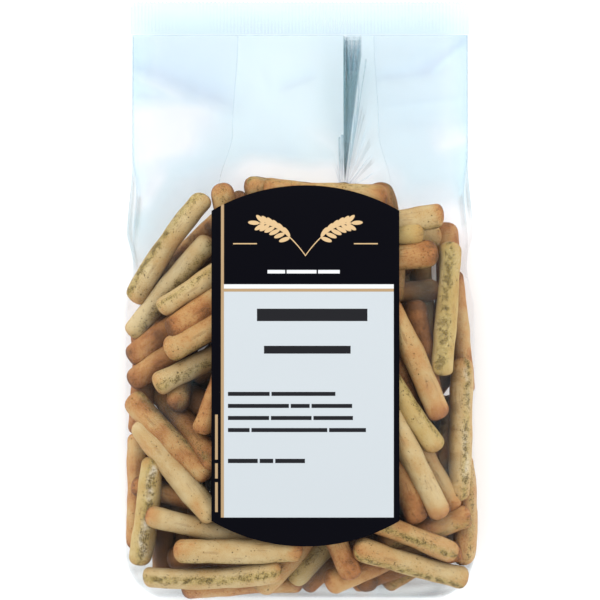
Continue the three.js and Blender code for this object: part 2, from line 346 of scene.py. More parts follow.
@dataclass(frozen=True)
class Profile:
    """A smooth curve through (place, value) knots, level beyond its ends.

    Attributes:
        knots: The knots, from the lowest place to the highest.
        level: Whether the curve is level at every knot, or runs on through it.
    """

    knots: tuple[tuple[float, float], ...]
    level: bool = False

    def at(self, place: np.ndarray) -> np.ndarray:
        """The curve's values at an array of places."""
        places, values = np.array(self.knots, dtype=float).T
        slopes = np.zeros_like(values) if self.level else np.gradient(values, places)
        place = np.clip(place, places[0], places[-1])
        left = np.clip(np.searchsorted(places, place, side="right") - 1, 0, len(places) - 2)
        width = places[left + 1] - places[left]
        share = (place - places[left]) / width
        rest = 1.0 - share
        return (
            values[left] * (1.0 + 2.0 * share) * rest**2
            + values[left + 1] * (3.0 - 2.0 * share) * share**2
            + slopes[left] * width * share * rest**2
            - slopes[left + 1] * width * rest * share**2
        )


@dataclass(frozen=True)
class BagForm:
    """The smooth form of the filled bag, before the film sinks between the sticks.

    Its length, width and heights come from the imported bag's box. The other sizes repeat
    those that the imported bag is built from.
    """

    low: Vector
    high: Vector
    fill_end: float = 38.0 * MM
    head_start: float = 24.0 * MM
    head_width: float = 126.0 * MM
    end_width: float = 98.0 * MM
    end_round: float = 17.0 * MM
    end_height: float = 16.0 * MM
    seal_length: float = 13.0 * MM
    seal_height: float = 7.85 * MM
    gusset_folds: tuple[float, float] = (41.0 * MM, 36.5 * MM)
    side_bulge: float = 4.7 * MM
    back_flat: float = 0.72

    @property
    def depth(self) -> float:
        """The filled bag's depth."""
        return self.high.z - self.low.z

    @property
    def seal_start(self) -> float:
        """Where the crimped band starts, as a Y."""
        return self.high.y - self.seal_length

    def front_middle(self, y: np.ndarray) -> np.ndarray:
        """Height of the front panel's middle line."""
        top = self.depth
        return Profile((
            (self.low.y, top - 5.0 * MM),
            (-85.0 * MM, top - 2.0 * MM),
            (-45.0 * MM, top),
            (-5.0 * MM, top - 1.0 * MM),
            (self.fill_end, top - 7.5 * MM),
            (62.0 * MM, 20.0 * MM),
            (self.seal_start, self.seal_height + 0.6 * MM),
            (self.high.y, self.seal_height + 0.6 * MM),
        )).at(y)

    def front_edge(self, y: np.ndarray) -> np.ndarray:
        """Height of the front panel's two edges."""
        return Profile((
            (self.low.y, 24.0 * MM),
            (-45.0 * MM, 25.0 * MM),
            (5.0 * MM, 23.0 * MM),
            (self.fill_end, 18.0 * MM),
            (65.0 * MM, 13.0 * MM),
            (self.seal_start, self.seal_height + 0.4 * MM),
            (self.high.y, self.seal_height + 0.4 * MM),
        )).at(y)

    def back_edge(self, y: np.ndarray) -> np.ndarray:
        """Height of the back panel's two edges."""
        return Profile((
            (self.low.y, 7.0 * MM),
            (5.0 * MM, 7.0 * MM),
            (self.fill_end, 6.0 * MM),
            (65.0 * MM, 5.5 * MM),
            (self.seal_start, self.seal_height - 0.4 * MM),
        )).at(y)

    def back_middle(self, y: np.ndarray) -> np.ndarray:
        """Height of the back panel's middle, which lies on the table under the sticks."""
        return Profile(((self.fill_end, 0.0), (self.seal_start, self.seal_height - 0.6 * MM)), True).at(y)

    def bulge(self, y: np.ndarray) -> np.ndarray:
        """How far a filled side stands out beyond the panels' edges."""
        start = self.head_start
        return Profile(((start - 30.0 * MM, self.side_bulge), (start, 0.0)), True).at(y)

    def fold(self, y: np.ndarray) -> np.ndarray:
        """How far a gusset folds in, as a share of its depth at the seal."""
        return Profile((
            (self.head_start - 26.0 * MM, 0.0),
            (self.fill_end + 6.0 * MM, 0.84),
            (self.fill_end + 24.0 * MM, 0.95),
            (self.seal_start, 1.0),
        ), True).at(y)

    def half_width(self, y: np.ndarray) -> np.ndarray:
        """Half the distance between a panel's two edges."""
        ends = ((self.head_start, self.high.x), (self.fill_end + 14.0 * MM, self.head_width / 2.0))
        return Profile(ends, True).at(y) - self.bulge(y)

    def opened(self, y: np.ndarray) -> np.ndarray:
        """How far the rounded bottom end has opened: 0 at the end, 1 in the body."""
        closeness = np.clip(1.0 - (y - self.low.y) / self.end_round, 0.0, 1.0)
        return np.sqrt(1.0 - closeness**2)

    def crown(self, x: np.ndarray, y: np.ndarray) -> np.ndarray:
        """Height of the smooth front panel above a point of the plan."""
        share = np.clip(np.abs(x) / self.half_width(y), 0.0, 1.0)
        edge = self.front_edge(y)
        return lerp(edge, self.front_middle(y), np.sqrt(1.0 - share**3))

    def section(self, y: np.ndarray, panel: np.ndarray, side: np.ndarray) -> np.ndarray:
        """The bag's outlines at an array of places along it.

        Args:
            y: The n places.
            panel: Shares from -1 to 1 across a panel, edges included.
            side: Shares from 0 to 1 down a side, edges left out.

        Returns:
            An (n, ring, 3) array: front, right side, back, left side.
        """
        y = y[:, None]
        open_ = self.opened(y)
        reach = lerp(self.end_width / 2.0, self.half_width(y), open_)
        crown = lerp(self.front_edge(y), self.front_middle(y), np.sqrt(1.0 - np.abs(panel) ** 3))
        curl = np.clip((np.abs(panel) - self.back_flat) / (1.0 - self.back_flat), 0.0, 1.0)
        back = lerp(self.back_edge(y), self.back_middle(y), np.sqrt(1.0 - curl**2))
        down = lerp(self.front_edge(y), self.back_edge(y), side)
        off = np.abs(2.0 * side - 1.0)
        stand = self.bulge(y) * np.sqrt(1.0 - off**4)
        left, right = [(stand - self.fold(y) * depth * (1.0 - off)) * open_ for depth in self.gusset_folds]
        x = np.hstack([reach * panel, reach + right, -reach * panel, -reach - left[:, ::-1]])
        z = np.hstack([crown, down, back[:, ::-1], down[:, ::-1]])
        z = self.end_height + (z - self.end_height) * open_
        return np.dstack([x, np.broadcast_to(y, x.shape), z])


# ---- The heap of breadsticks --------------------------------------------------------


class Bake(Enum):
    """How far a stick is baked, as its place on the crust's colour scale."""

    PALE = 0.10
    CREAM = 0.22
    OLIVE = 0.30
    TAN = 0.45
    ORANGE = 0.58
    BROWN = 0.72


class Tier(Enum):
    """How deep a stick lies: its step down from the front film, in stick radii."""

    FRONT = 0.0
    NEXT = 0.5
    BEHIND = 1.0
    UNDER = 1.5
    DEEP = 2.0


@dataclass(frozen=True)
class Lie:
    """Where one stick that shows lies, and how it is baked.

    Attributes:
        x: Its middle, in millimetres.
        y: Its middle, in millimetres.
        heading: Its direction in degrees, anticlockwise from +X.
        length: In millimetres.
        tier: How deep it lies.
        bake: How far it is baked.
        stripe: Where its herb stripe lies: degrees round it from its top, to its left.
        herbs: How thick the stripe is with herbs, from 0 to 1.
        flour: How much of the stripe is split open and floury, from 0 to 1.
    """

    x: float
    y: float
    heading: float
    length: float
    tier: Tier
    bake: Bake
    stripe: float = 180.0
    herbs: float = 0.3
    flour: float = 0.0


FRONT, NEXT, BEHIND, UNDER, DEEP = Tier
SHOWN = (
    # left of the label, from the head down
    Lie(-48.6, 19.1, 52, 48.3, FRONT, Bake.CREAM, 48, 0.9),
    Lie(-48.2, 4.4, 48, 47.6, BEHIND, Bake.PALE, -30, 0.45),
    Lie(-32.5, 10.2, 34, 48.6, FRONT, Bake.CREAM, 30, 0.5),
    Lie(-28.9, 0.6, 34, 47.8, FRONT, Bake.ORANGE, 100, 0.1),
    Lie(-27.3, -10.8, 29, 48.3, FRONT, Bake.TAN, -70, 0.5),
    Lie(-44.0, -8.9, 32, 47.2, BEHIND, Bake.BROWN, 120, 0.2),
    Lie(-42.5, -31.5, -22, 46.0, DEEP, Bake.BROWN),
    Lie(-44.7, -19.5, 32, 44.7, BEHIND, Bake.ORANGE, 150, 0.2),
    Lie(-33.6, -21.3, 26, 46.1, BEHIND, Bake.CREAM, -20, 0.6),
    Lie(-24.5, -13.4, 48, 45.7, BEHIND, Bake.ORANGE),
    Lie(-43.4, -25.0, 88, 40.0, UNDER, Bake.TAN, -35, 0.35),
    Lie(-31.2, -29.7, 79, 40.0, BEHIND, Bake.ORANGE, -90, 0.2),
    Lie(-49.0, -50.8, -42, 43.6, NEXT, Bake.TAN, 55, 0.6, 0.15),
    Lie(-47.0, -63.5, -40, 47.4, FRONT, Bake.PALE, 80, 0.2),
    Lie(-57.9, -77.7, -80, 41.0, BEHIND, Bake.OLIVE, 5, 0.8, 0.9),
    Lie(-62.0, -70.3, -86, 43.9, DEEP, Bake.TAN),
    Lie(-52.3, -83.0, -84, 44.0, DEEP, Bake.TAN),
    Lie(-28.5, -95.2, 2, 42.0, DEEP, Bake.ORANGE),
    Lie(-58.8, -30.0, 84, 42.0, DEEP, Bake.BROWN),
    # along the bottom end
    Lie(-41.0, -74.0, -12, 46.0, UNDER, Bake.ORANGE),
    Lie(-34.9, -84.6, -12, 47.4, NEXT, Bake.PALE, -85, 0.5),
    Lie(-23.0, -92.3, 1, 47.9, FRONT, Bake.CREAM, -80, 0.35),
    Lie(-32.8, -102.6, 0, 51.9, FRONT, Bake.CREAM, -12, 0.85),
    Lie(-20.8, -106.6, 3, 45.7, BEHIND, Bake.TAN, 30, 0.4),
    Lie(-2.1, -93.6, 53, 39.5, BEHIND, Bake.TAN, 20, 0.3),
    Lie(11.9, -89.6, 39, 44.0, BEHIND, Bake.OLIVE, 10, 0.5),
    Lie(18.7, -93.5, 36, 45.9, DEEP, Bake.ORANGE),
    Lie(28.9, -96.3, 29, 44.5, BEHIND, Bake.TAN),
    Lie(10.8, -81.4, -67, 49.1, FRONT, Bake.ORANGE, 120, 0.2),
    Lie(41.9, -96.3, -8, 46.1, FRONT, Bake.CREAM, -48, 1.0, 0.1),
    Lie(22.8, -85.5, -80, 45.3, DEEP, Bake.BROWN),
    Lie(47.5, -95.3, 41, 41.0, DEEP, Bake.TAN, -40, 0.4),
    Lie(40.0, -99.5, 17, 44.0, DEEP, Bake.BROWN),
    Lie(60.5, -78.0, 88, 42.0, DEEP, Bake.TAN, -30, 0.4),
    Lie(37.8, -83.8, -18, 48.1, FRONT, Bake.TAN, -15, 0.8),
    # right of the label, from the bottom up
    Lie(41.9, -59.5, -58, 48.2, FRONT, Bake.CREAM, 150, 0.35),
    Lie(37.8, -36.4, -55, 47.4, FRONT, Bake.OLIVE, 60, 0.5),
    Lie(42.1, -22.3, -62, 48.1, FRONT, Bake.TAN, -110, 0.25),
    Lie(60.3, -48.2, 89, 53.1, FRONT, Bake.CREAM, -32, 0.8, 0.6),
    Lie(47.1, -85.8, 28, 36.3, BEHIND, Bake.ORANGE, -40, 0.5),
    Lie(36.0, -61.8, -76, 45.2, DEEP, Bake.ORANGE),
    Lie(30.6, 30.8, -1, 46.0, FRONT, Bake.CREAM, -70, 0.5),
    Lie(30.8, 20.8, -89, 45.9, BEHIND, Bake.TAN, 60, 0.3),
    Lie(23.2, 22.8, 0, 46.0, BEHIND, Bake.OLIVE, -90, 0.4),
    Lie(52.4, 6.5, 88, 45.7, DEEP, Bake.ORANGE),
    Lie(27.6, 15.0, 8, 48.0, FRONT, Bake.ORANGE, -85, 0.5),
    Lie(29.9, 3.9, 1, 47.1, DEEP, Bake.TAN),
    Lie(45.6, -22.3, -81, 45.4, UNDER, Bake.BROWN, 120, 0.1),
    Lie(54.0, -3.2, 86, 49.9, FRONT, Bake.OLIVE, 8, 1.0),
    Lie(58.5, -12.2, -85, 46.5, DEEP, Bake.TAN),
    # along the top of the fill
    Lie(-24.5, 21.1, -79, 45.5, BEHIND, Bake.ORANGE, 0, 0.2),
    Lie(0.4, 40.5, 2, 47.9, DEEP, Bake.CREAM, 75, 0.8),
    Lie(9.4, 39.4, -7, 46.2, FRONT, Bake.TAN, 60, 0.3),
)


@dataclass
class Heap:
    """Places every stick: those that show by their lies, the rest settled under them.

    Attributes:
        count: How many sticks are in the bag.
        late: How many of them drop into the holes that the others leave.
        radius: Of an average stick.
        length: Of an average stick.
        seed: Of all the heap's random draws.
        rounds: How often overlapping sticks are pushed apart.
        last_rounds: How often once the late ones are in.
        tries: How many places are tried for each hidden stick.
        edge: How far out an end still rises to the front film; beyond, it rests on the side.
        top: The heap's upper end in the plan, by X, for the hidden sticks.
        foot: Its lower end.
    """

    count: int = 108
    late: int = 14
    radius: float = 4.4 * MM
    length: float = 47.5 * MM
    seed: int = 60
    rounds: int = 230
    last_rounds: int = 40
    tries: int = 40
    edge: float = 56.0 * MM
    top: Profile = Profile((
        (-62.0 * MM, -6.0 * MM),
        (-50.0 * MM, 17.0 * MM),
        (-36.0 * MM, 34.0 * MM),
        (34.0 * MM, 34.0 * MM),
        (52.0 * MM, 27.0 * MM),
        (61.0 * MM, 6.0 * MM),
    ))
    foot: Profile = Profile((
        (-62.0 * MM, -84.0 * MM),
        (-46.0 * MM, -99.0 * MM),
        (0.0, -104.0 * MM),
        (46.0 * MM, -102.0 * MM),
        (62.0 * MM, -88.0 * MM),
    ))
    rng: np.random.Generator = field(init=False)
    ranks: np.ndarray = field(init=False)
    middles: np.ndarray = field(init=False)
    headings: np.ndarray = field(init=False)
    halves: np.ndarray = field(init=False)
    radii: np.ndarray = field(init=False)

    def __post_init__(self) -> None:
        """Lays the shown sticks at their lies and scatters the rest under them."""
        self.rng = np.random.default_rng(self.seed)
        turn = np.radians([lie.heading for lie in SHOWN])
        depth = np.array([30.0 - 8.0 * lie.tier.value for lie in SHOWN]) * MM
        laid = np.array([(lie.x * MM, lie.y * MM) for lie in SHOWN])
        self.middles = np.column_stack([laid, depth])
        self.headings = np.column_stack([np.cos(turn), np.sin(turn), 0.0 * turn])
        self.radii = self._girths(len(SHOWN))
        self.halves = np.array([lie.length * MM for lie in SHOWN]) / 2.0 - 0.8 * self.radii
        self._drop(self.count - self.late - len(SHOWN), (5.0, 13.0, 5.0, 20.0), 0.35)

    def _girths(self, number: int) -> np.ndarray:
        """Draws the radii of a number of sticks."""
        return self.radius * self.rng.uniform(0.93, 1.06, number)

    def _drop(self, number: int, levels: tuple[float, ...], fade: float) -> None:
        """Adds sticks where the heap is thinnest, one by one.

        Args:
            number: How many.
            levels: The heights at which they start, in turn, in millimetres.
            fade: How much less a place counts for each stick that covers it already.
        """
        across, along = np.meshgrid(np.arange(-60.0, 61.0, 2.5), np.arange(-106.0, 44.0, 2.5))
        grid = np.column_stack([across.ravel(), along.ravel()]) * MM
        grid = grid[(grid[:, 1] < self.top.at(grid[:, 0])) & (grid[:, 1] > self.foot.at(grid[:, 0]))]
        turns = np.arctan2(self.headings[:, 1], self.headings[:, 0])
        cover = np.sum([self._covers(grid, *pair) for pair in zip(self.middles[:, :2], turns)], axis=0)
        places, headings = [], []
        while len(places) < number:
            tries = [self._try() for _ in range(self.tries)]
            covers = [self._covers(grid, *pair) for pair in tries]
            best = int(np.argmax([np.sum(mask * fade**cover) for mask in covers]))
            cover = cover + covers[best]
            places.append(tries[best][0])
            headings.append(tries[best][1])
        radii = self._girths(number)
        halves = self.rng.normal(self.length, 2.0 * MM, number) / 2.0 - 0.8 * radii
        middles = np.column_stack([places, np.resize(np.array(levels) * MM, number)])
        spines = np.column_stack([np.cos(headings), np.sin(headings), np.zeros(number)])
        self.middles = np.vstack([self.middles, middles])
        self.headings = np.vstack([self.headings, spines])
        self.radii = np.concatenate([self.radii, radii])
        self.halves = np.concatenate([self.halves, halves])

    def _try(self) -> tuple[np.ndarray, float]:
        """Draws a place and a heading, in the plan, for a stick that stays in the heap."""
        while True:
            place = np.array([self.rng.uniform(-56.0, 56.0), self.rng.uniform(-100.0, 32.0)]) * MM
            heading = self.rng.uniform(0.0, math.pi)
            reach = 0.5 * self.length * np.array([math.cos(heading), math.sin(heading)])
            ends = np.array([place + reach, place - reach])
            inside = (ends[:, 1] < self.top.at(ends[:, 0])) & (ends[:, 1] > self.foot.at(ends[:, 0]))
            if inside.all() and np.abs(ends[:, 0]).max() < 61.0 * MM:
                return place, heading

    def _covers(self, grid: np.ndarray, middle: np.ndarray, heading: float) -> np.ndarray:
        """Which points of the plan a stick covers, as 0 or 1."""
        axis = np.array([math.cos(heading), math.sin(heading)])
        away = grid - middle
        along = np.clip(away @ axis, -0.5 * self.length + self.radius, 0.5 * self.length - self.radius)
        return (np.linalg.norm(away - np.outer(along, axis), axis=1) < 0.95 * self.radius).astype(int)

    def settle(self, wall: BVHTree) -> None:
        """Pushes overlapping sticks apart, inside the bag, then drops the late ones in.

        Args:
            wall: The bag's smooth form, facing out.
        """
        self._shake(wall, self.rounds, 0.1 * MM)
        self._drop(self.late, (4.6,), 0.03)
        self._shake(wall, self.last_rounds, 0.0)

    def _shake(self, wall: BVHTree, rounds: int, jitter: float) -> None:
        """Lets the heap settle.

        Args:
            wall: The bag's smooth form, facing out.
            rounds: How often overlapping sticks are pushed apart.
            jitter: How far the hidden sticks are shaken at first.
        """
        shown, number = len(SHOWN), len(self.middles)
        first, second = np.triu_indices(number, 1)
        self.ranks = np.full(number, 3.0)
        self.ranks[:shown] = [lie.tier.value for lie in SHOWN]
        laid = np.array([(lie.x * MM, lie.y * MM) for lie in SHOWN])
        turns = np.radians([lie.heading for lie in SHOWN])
        laid_headings = np.column_stack([np.cos(turns), np.sin(turns)])
        lift = np.full(number, -0.12 * MM)
        lifts = {FRONT: 0.5, NEXT: 0.3, BEHIND: 0.1, UNDER: 0.1, DEEP: -0.05}
        lift[:shown] = [lifts[lie.tier] * MM for lie in SHOWN]
        for turn in range(rounds):
            calm = turn / rounds
            self._lift(lift * (1.0 - 0.7 * calm))
            shaken = jitter * (1.0 - calm) ** 2
            self.middles[shown:] += self.rng.normal(0.0, 1.0, (number - shown, 3)) * shaken
            self.middles[:shown, :2] += 0.4 * (laid - self.middles[:shown, :2])
            flat = np.sqrt(1.0 - self.headings[:shown, 2:] ** 2)
            self.headings[:shown, :2] += 0.4 * (laid_headings * flat - self.headings[:shown, :2])
            self._normalise()
            self._part(first, second)
            self._keep_in(wall)
            self._keep_down()

    def _lift(self, step: np.ndarray) -> None:
        """Raises or lowers both ends of each stick, but raises none next to a side of the bag.

        Args:
            step: How far each stick moves up, or down where it is negative.
        """
        every = np.arange(len(self.middles))
        for side in (-1.0, 1.0):
            along = side * self.halves
            out = np.abs(self.middles[:, 0] + self.headings[:, 0] * along)
            share = np.where(step > 0.0, smoothstep(out, self.edge + 4.0 * MM, self.edge), 1.0)
            self._nudge(every, along, np.outer(2.0 * step * share, (0.0, 0.0, 1.0)))
        self._normalise()

    def _normalise(self) -> None:
        """Makes every heading a unit vector again."""
        self.headings /= np.linalg.norm(self.headings, axis=1, keepdims=True)

    def _nudge(self, index: np.ndarray, along: np.ndarray, push: np.ndarray) -> None:
        """Moves sticks as stiff rods that are pushed at one point each.

        Args:
            index: Which sticks.
            along: Where on each, in metres from its middle.
            push: The (n, 3) pushes.
        """
        gyration = self.halves[index] ** 2 / 3.0 + self.radii[index] ** 2 / 4.0
        share = 1.0 / (1.0 + along**2 / gyration)
        np.add.at(self.middles, index, push * share[:, None])
        np.add.at(self.headings, index, push * (share * along / gyration)[:, None])

    def _part(self, first: np.ndarray, second: np.ndarray) -> None:
        """Pushes overlapping sticks apart, the one nearer the front film always upwards."""
        gap = self.middles[first] - self.middles[second]
        a, b = self.headings[first], self.headings[second]
        parallel = np.einsum("ij,ij->i", a, b)
        on_a, on_b = np.einsum("ij,ij->i", a, gap), np.einsum("ij,ij->i", b, gap)
        s = (parallel * on_b - on_a) / np.maximum(1.0 - parallel**2, 1e-3)
        s = np.clip(s, -self.halves[first], self.halves[first])
        t = np.clip(parallel * s + on_b, -self.halves[second], self.halves[second])
        s = np.clip(parallel * t - on_a, -self.halves[first], self.halves[first])
        between = gap + a * s[:, None] - b * t[:, None]
        distance = np.maximum(np.linalg.norm(between, axis=1), 1e-6)
        overlap = self.radii[first] + self.radii[second] + 0.1 * MM - distance
        over = np.sign(self.ranks[second] - self.ranks[first])
        swapped = over * between[:, 2] < 0.0
        between[swapped] = np.outer((over * distance)[swapped], (0.0, 0.0, 1.0))
        hit = overlap > 0.0
        push = between[hit] / distance[hit, None] * (0.42 * overlap[hit, None])
        self._nudge(first[hit], s[hit], push)
        self._nudge(second[hit], t[hit], -push)
        self._normalise()

    def _keep_in(self, wall: BVHTree) -> None:
        """Pushes sticks that poke through the bag's form back inside."""
        for share in (-1.0, -0.5, 0.0, 0.5, 1.0):
            along = self.halves * share
            places = self.middles + self.headings * along[:, None]
            push = np.zeros_like(places)
            for index, place in enumerate(places):
                near, normal, _, distance = wall.find_nearest(Vector(place))
                inside = (near - Vector(place)).dot(normal) > 0.0
                margin = (0.35 + 0.45 * max(normal.z, 0.0)) * MM
                short = self.radii[index] + margin - (distance if inside else -distance)
                if short > 0.0:
                    push[index] = -normal * short
            self._nudge(np.arange(len(self.middles)), along, push)
            self._normalise()

    def _keep_down(self) -> None:
        """Pushes hidden sticks that stick out at the heap's upper end back into it."""
        hidden = np.arange(len(SHOWN), len(self.middles))
        for side in (-1.0, 1.0):
            along = side * self.halves[hidden]
            ends = self.middles[hidden] + self.headings[hidden] * along[:, None]
            out = np.maximum(ends[:, 1] + 4.5 * MM - self.top.at(ends[:, 0]), 0.0)
            self._nudge(hidden, along, np.outer(out, (0.0, -1.0, 0.0)))
            self._normalise()

    def worst_overlap(self) -> float:
        """The deepest overlap that is left between two sticks' middles, in metres."""
        first, second = np.triu_indices(len(self.middles), 1)
        deepest = 0.0
        for share in np.linspace(-1.0, 1.0, 9):
            place = self.middles + self.headings * (self.halves * share)[:, None]
            gap = place[first] - self.middles[second]
            along = np.clip(np.einsum("ij,ij->i", gap, self.headings[second]),
                            -self.halves[second], self.halves[second])
            distance = np.linalg.norm(gap - self.headings[second] * along[:, None], axis=1)
            deepest = max(deepest, float(np.max(self.radii[first] + self.radii[second] - distance)))
        return deepest


# ---- Finishes -----------------------------------------------------------------------


@dataclass(frozen=True)
class CrustFinish:
    """Baked crust: a colour scale from pale to brown, herb flecks and floury splits.

    It reads the attribute "crust" (bake, olive, herbs, flour), the attribute "dusk", a painted
    shade that is 1 deep between the sticks and on flanks turned from the film and browns and
    darkens the crust there, and the UV map "grain", whose U runs round a stick and V along it.
    """

    name: str = "crust"
    scale: tuple[tuple[float, tuple[float, float, float]], ...] = (
        (0.0, linear(196, 175, 132)),
        (0.28, linear(184, 153, 103)),
        (0.5, linear(178, 131, 79)),
        (0.72, linear(155, 98, 53)),
        (1.0, linear(98, 57, 29)),
    )
    olive: tuple[float, float, float] = linear(177, 157, 92)
    smear: tuple[float, float, float] = linear(140, 118, 60)
    herb: tuple[float, float, float] = linear(80, 62, 26)
    gouge: tuple[float, float, float] = linear(112, 74, 40)
    flour: tuple[float, float, float] = linear(214, 204, 184)
    # Dark brown of the painted shade deep in the heap and on flanks turned from the film.
    painted_shade_brown: tuple[float, float, float] = linear(76, 54, 36)

    def material(self) -> bpy.types.Material:
        """Builds the material."""
        g = Graph(self.name)
        colour, _, _, flour = g.node("Attribute", {"attribute_name": "crust"})
        # Painted shade: 1 deep between the sticks and on flanks turned away from the film.
        painted_shade = g.node("Attribute", {"attribute_name": "painted_shade"})[2]
        bake, olive, herbs = g.node("SeparateColor", {}, {"Color": colour})
        place = g.node("TexCoord")[3]
        grain = g.node("UVMap", {"uv_map": "grain"})[0].times((0.028, 0.048, 0.0))
        streaks = g.noise(grain.times((1.0, 0.25, 1.0)), 420.0, 3.0)
        cloud = g.noise(place, 120.0, 4.0, 0.6)
        blush = g.noise(place, 58.0, 2.0).rise(0.48, 0.7)
        freckle = g.noise(place, 1100.0, 2.0).rise(0.52, 0.72)
        uneven = (cloud - 0.5) * (0.55 + 0.9 * bake) + (streaks - 0.5) * 0.25
        # The painted shade also pushes the tone towards brown.
        tone = bake + uneven + blush * 0.22 + freckle * (0.04 + 0.24 * bake) + painted_shade * 0.16 - 0.05
        base = g.node("ValToRGB", {"ramp": self.scale}, {"Fac": tone.clamp()})[0]
        patchy = g.noise(place, 480.0, 3.0, 0.7).rise(0.36, 0.62)
        wash = (olive * (0.35 + cloud) + herbs * (0.25 + 0.6 * patchy)).clamp() * 0.72
        base = g.mix(wash, base, self.olive)
        split = (flour * (g.noise(place, 520.0, 3.0) - 0.22) * 4.0).clamp()
        base = g.mix(split * 0.8, base, self.flour)
        scars = g.noise(grain.times((1.0, 0.16, 1.0)), 620.0, 3.0).rise(0.6, 0.7)
        base = g.mix(scars * (0.12 + 0.5 * bake), base, self.gouge)
        clumps = g.noise(place, 430.0, 3.0).rise(0.4, 0.6)
        base = g.mix((herbs * clumps * 0.9).clamp(), base, self.smear)
        flecks = self._flecks(g, place, herbs) * (0.3 + 0.7 * clumps)
        base = g.mix(flecks * 0.92, base, self.herb)
        # Painted shade: the crust darkens towards dark brown deep in the heap and on turned flanks.
        base = g.mix(painted_shade * 0.76, base, self.painted_shade_brown)
        pores = g.noise(place, 1500.0, 3.0, 0.6)
        skin = g.noise(place, 380.0, 3.0)
        height = skin * 0.6 + pores * 0.3 - flecks * 0.1 - split * 0.25 - scars * 0.2
        shader = g.node("BsdfPrincipled", {}, {
            "Base Color": base,
            "Roughness": (0.58 + pores * 0.24).clamp(),
            "Specular IOR Level": 0.3,
            "Normal": g.bump(height, 0.45 * MM, 0.9),
        })[0]
        return g.finish(shader)

    @staticmethod
    def _flecks(g: Graph, place: Wire, herbs: Wire) -> Wire:
        """Dark flecks, thick where the herbs are.

        Args:
            g: The material's graph.
            place: Object coordinates.
            herbs: How thick the herbs are, from 0 to 1.

        Returns:
            1 on a fleck, else 0.
        """
        total: Wire | None = None
        for scale, share, size in ((2500.0, 0.9, 0.43), (1600.0, 0.8, 0.4), (950.0, 0.4, 0.32)):
            distance, colour = g.cells(place, scale)
            chance = g.node("SeparateColor", {}, {"Color": colour})[0]
            keep = chance < (herbs * share + 0.007)
            ragged = distance + (g.noise(place, 3000.0, 2.0) - 0.5) * 0.3
            spot = keep * ragged.rise(size + 0.24, size - 0.16)
            total = spot if total is None else total.high(spot)
        return total


@dataclass(frozen=True)
class FilmFinish:
    """Clear glossy film with a faint cool tint, brighter where it is seen aslant.

    It reads the attribute "tucked", which is 1 on a folded gusset, and the attribute
    "slack": its red is 1 where the film hangs free and 0 where it lies on the sticks, its
    green is how sharply it is creased, which a painted shade darkens, its blue is how clear
    it is of haze, over the sticks and in painted highlights on the head, and its alpha is a
    painted grey shade on the back film near the bottom end.
    """

    name: str
    tint: tuple[float, float, float] = (0.993, 0.992, 0.997)
    gloss: float = 0.14
    mirror: float = 1.0
    touching: float = 0.25
    most: float = 0.3
    most_touching: float = 0.12
    haze: float = 0.08
    # How strongly creases are darkened by painted shade.
    crease: float = 0.05
    # How strong the painted grey shade is.
    shade: float = 0.42
    sheen: tuple[float, float, float] = (0.7, 0.8, 0.88)
    haze_colour: tuple[float, float, float] = (0.02, 0.52, 0.63)
    # The blue-grey of the painted shade in creases.
    crease_shade_colour: tuple[float, float, float] = (0.02, 0.3, 0.56)
    # The grey of the painted shade at the bottom end.
    shade_colour: tuple[float, float, float] = (0.34, 0.34, 0.35)
    crinkle: float = 0.05 * MM

    def material(self) -> bpy.types.Material:
        """Builds the material."""
        g = Graph(self.name)
        place = g.node("TexCoord")[3]
        ripples = g.noise(place, 55.0, 2.0) + g.noise(place, 260.0, 2.0) * 0.12
        normal = g.bump(ripples, self.crinkle, 1.0)
        fresnel = g.node("Fresnel", {}, {"IOR": 1.5, "Normal": normal})[0]
        slack, _, _, shading = g.node("Attribute", {"attribute_name": "slack"})
        free, creased, clear_and_highlit = g.node("SeparateColor", {}, {"Color": slack})
        tucked = g.node("Attribute", {"attribute_name": "tucked"})[2]
        limit = self.most_touching + (self.most - self.most_touching) * free
        shine = (fresnel * (self.touching + (self.mirror - self.touching) * free)).low(limit)
        shine = shine * (1.0 - 0.5 * tucked)
        # Painted shade: creases darken towards a blue-grey and the back film near the bottom end towards grey;
        # the haze is left out over the sticks and in the painted highlights.
        painted_crease_shade = creased * (1.0 - tucked)
        haze = free * (1.0 - tucked) * (1.0 - clear_and_highlit) * self.haze
        haze_and_painted_shade = haze + painted_crease_shade * self.crease + shading * self.shade
        glint = (shine / (shine + haze_and_painted_shade + 0.0001)).clamp()
        colour = g.mix(painted_crease_shade.clamp(), self.haze_colour, self.crease_shade_colour)
        colour = g.mix(shading.clamp(), colour, self.shade_colour)
        clear = g.node("BsdfTransparent", {}, {"Color": (*self.tint, 1.0)})[0]
        gloss = g.node("BsdfPrincipled", {}, {
            "Base Color": g.mix(glint, colour, self.sheen),
            "Metallic": glint * 0.9,
            "Roughness": self.gloss,
            "Normal": normal,
        })[0]
        return g.finish(g.node("MixShader", {}, {0: (shine + haze_and_painted_shade).clamp(), 1: clear, 2: gloss})[0])


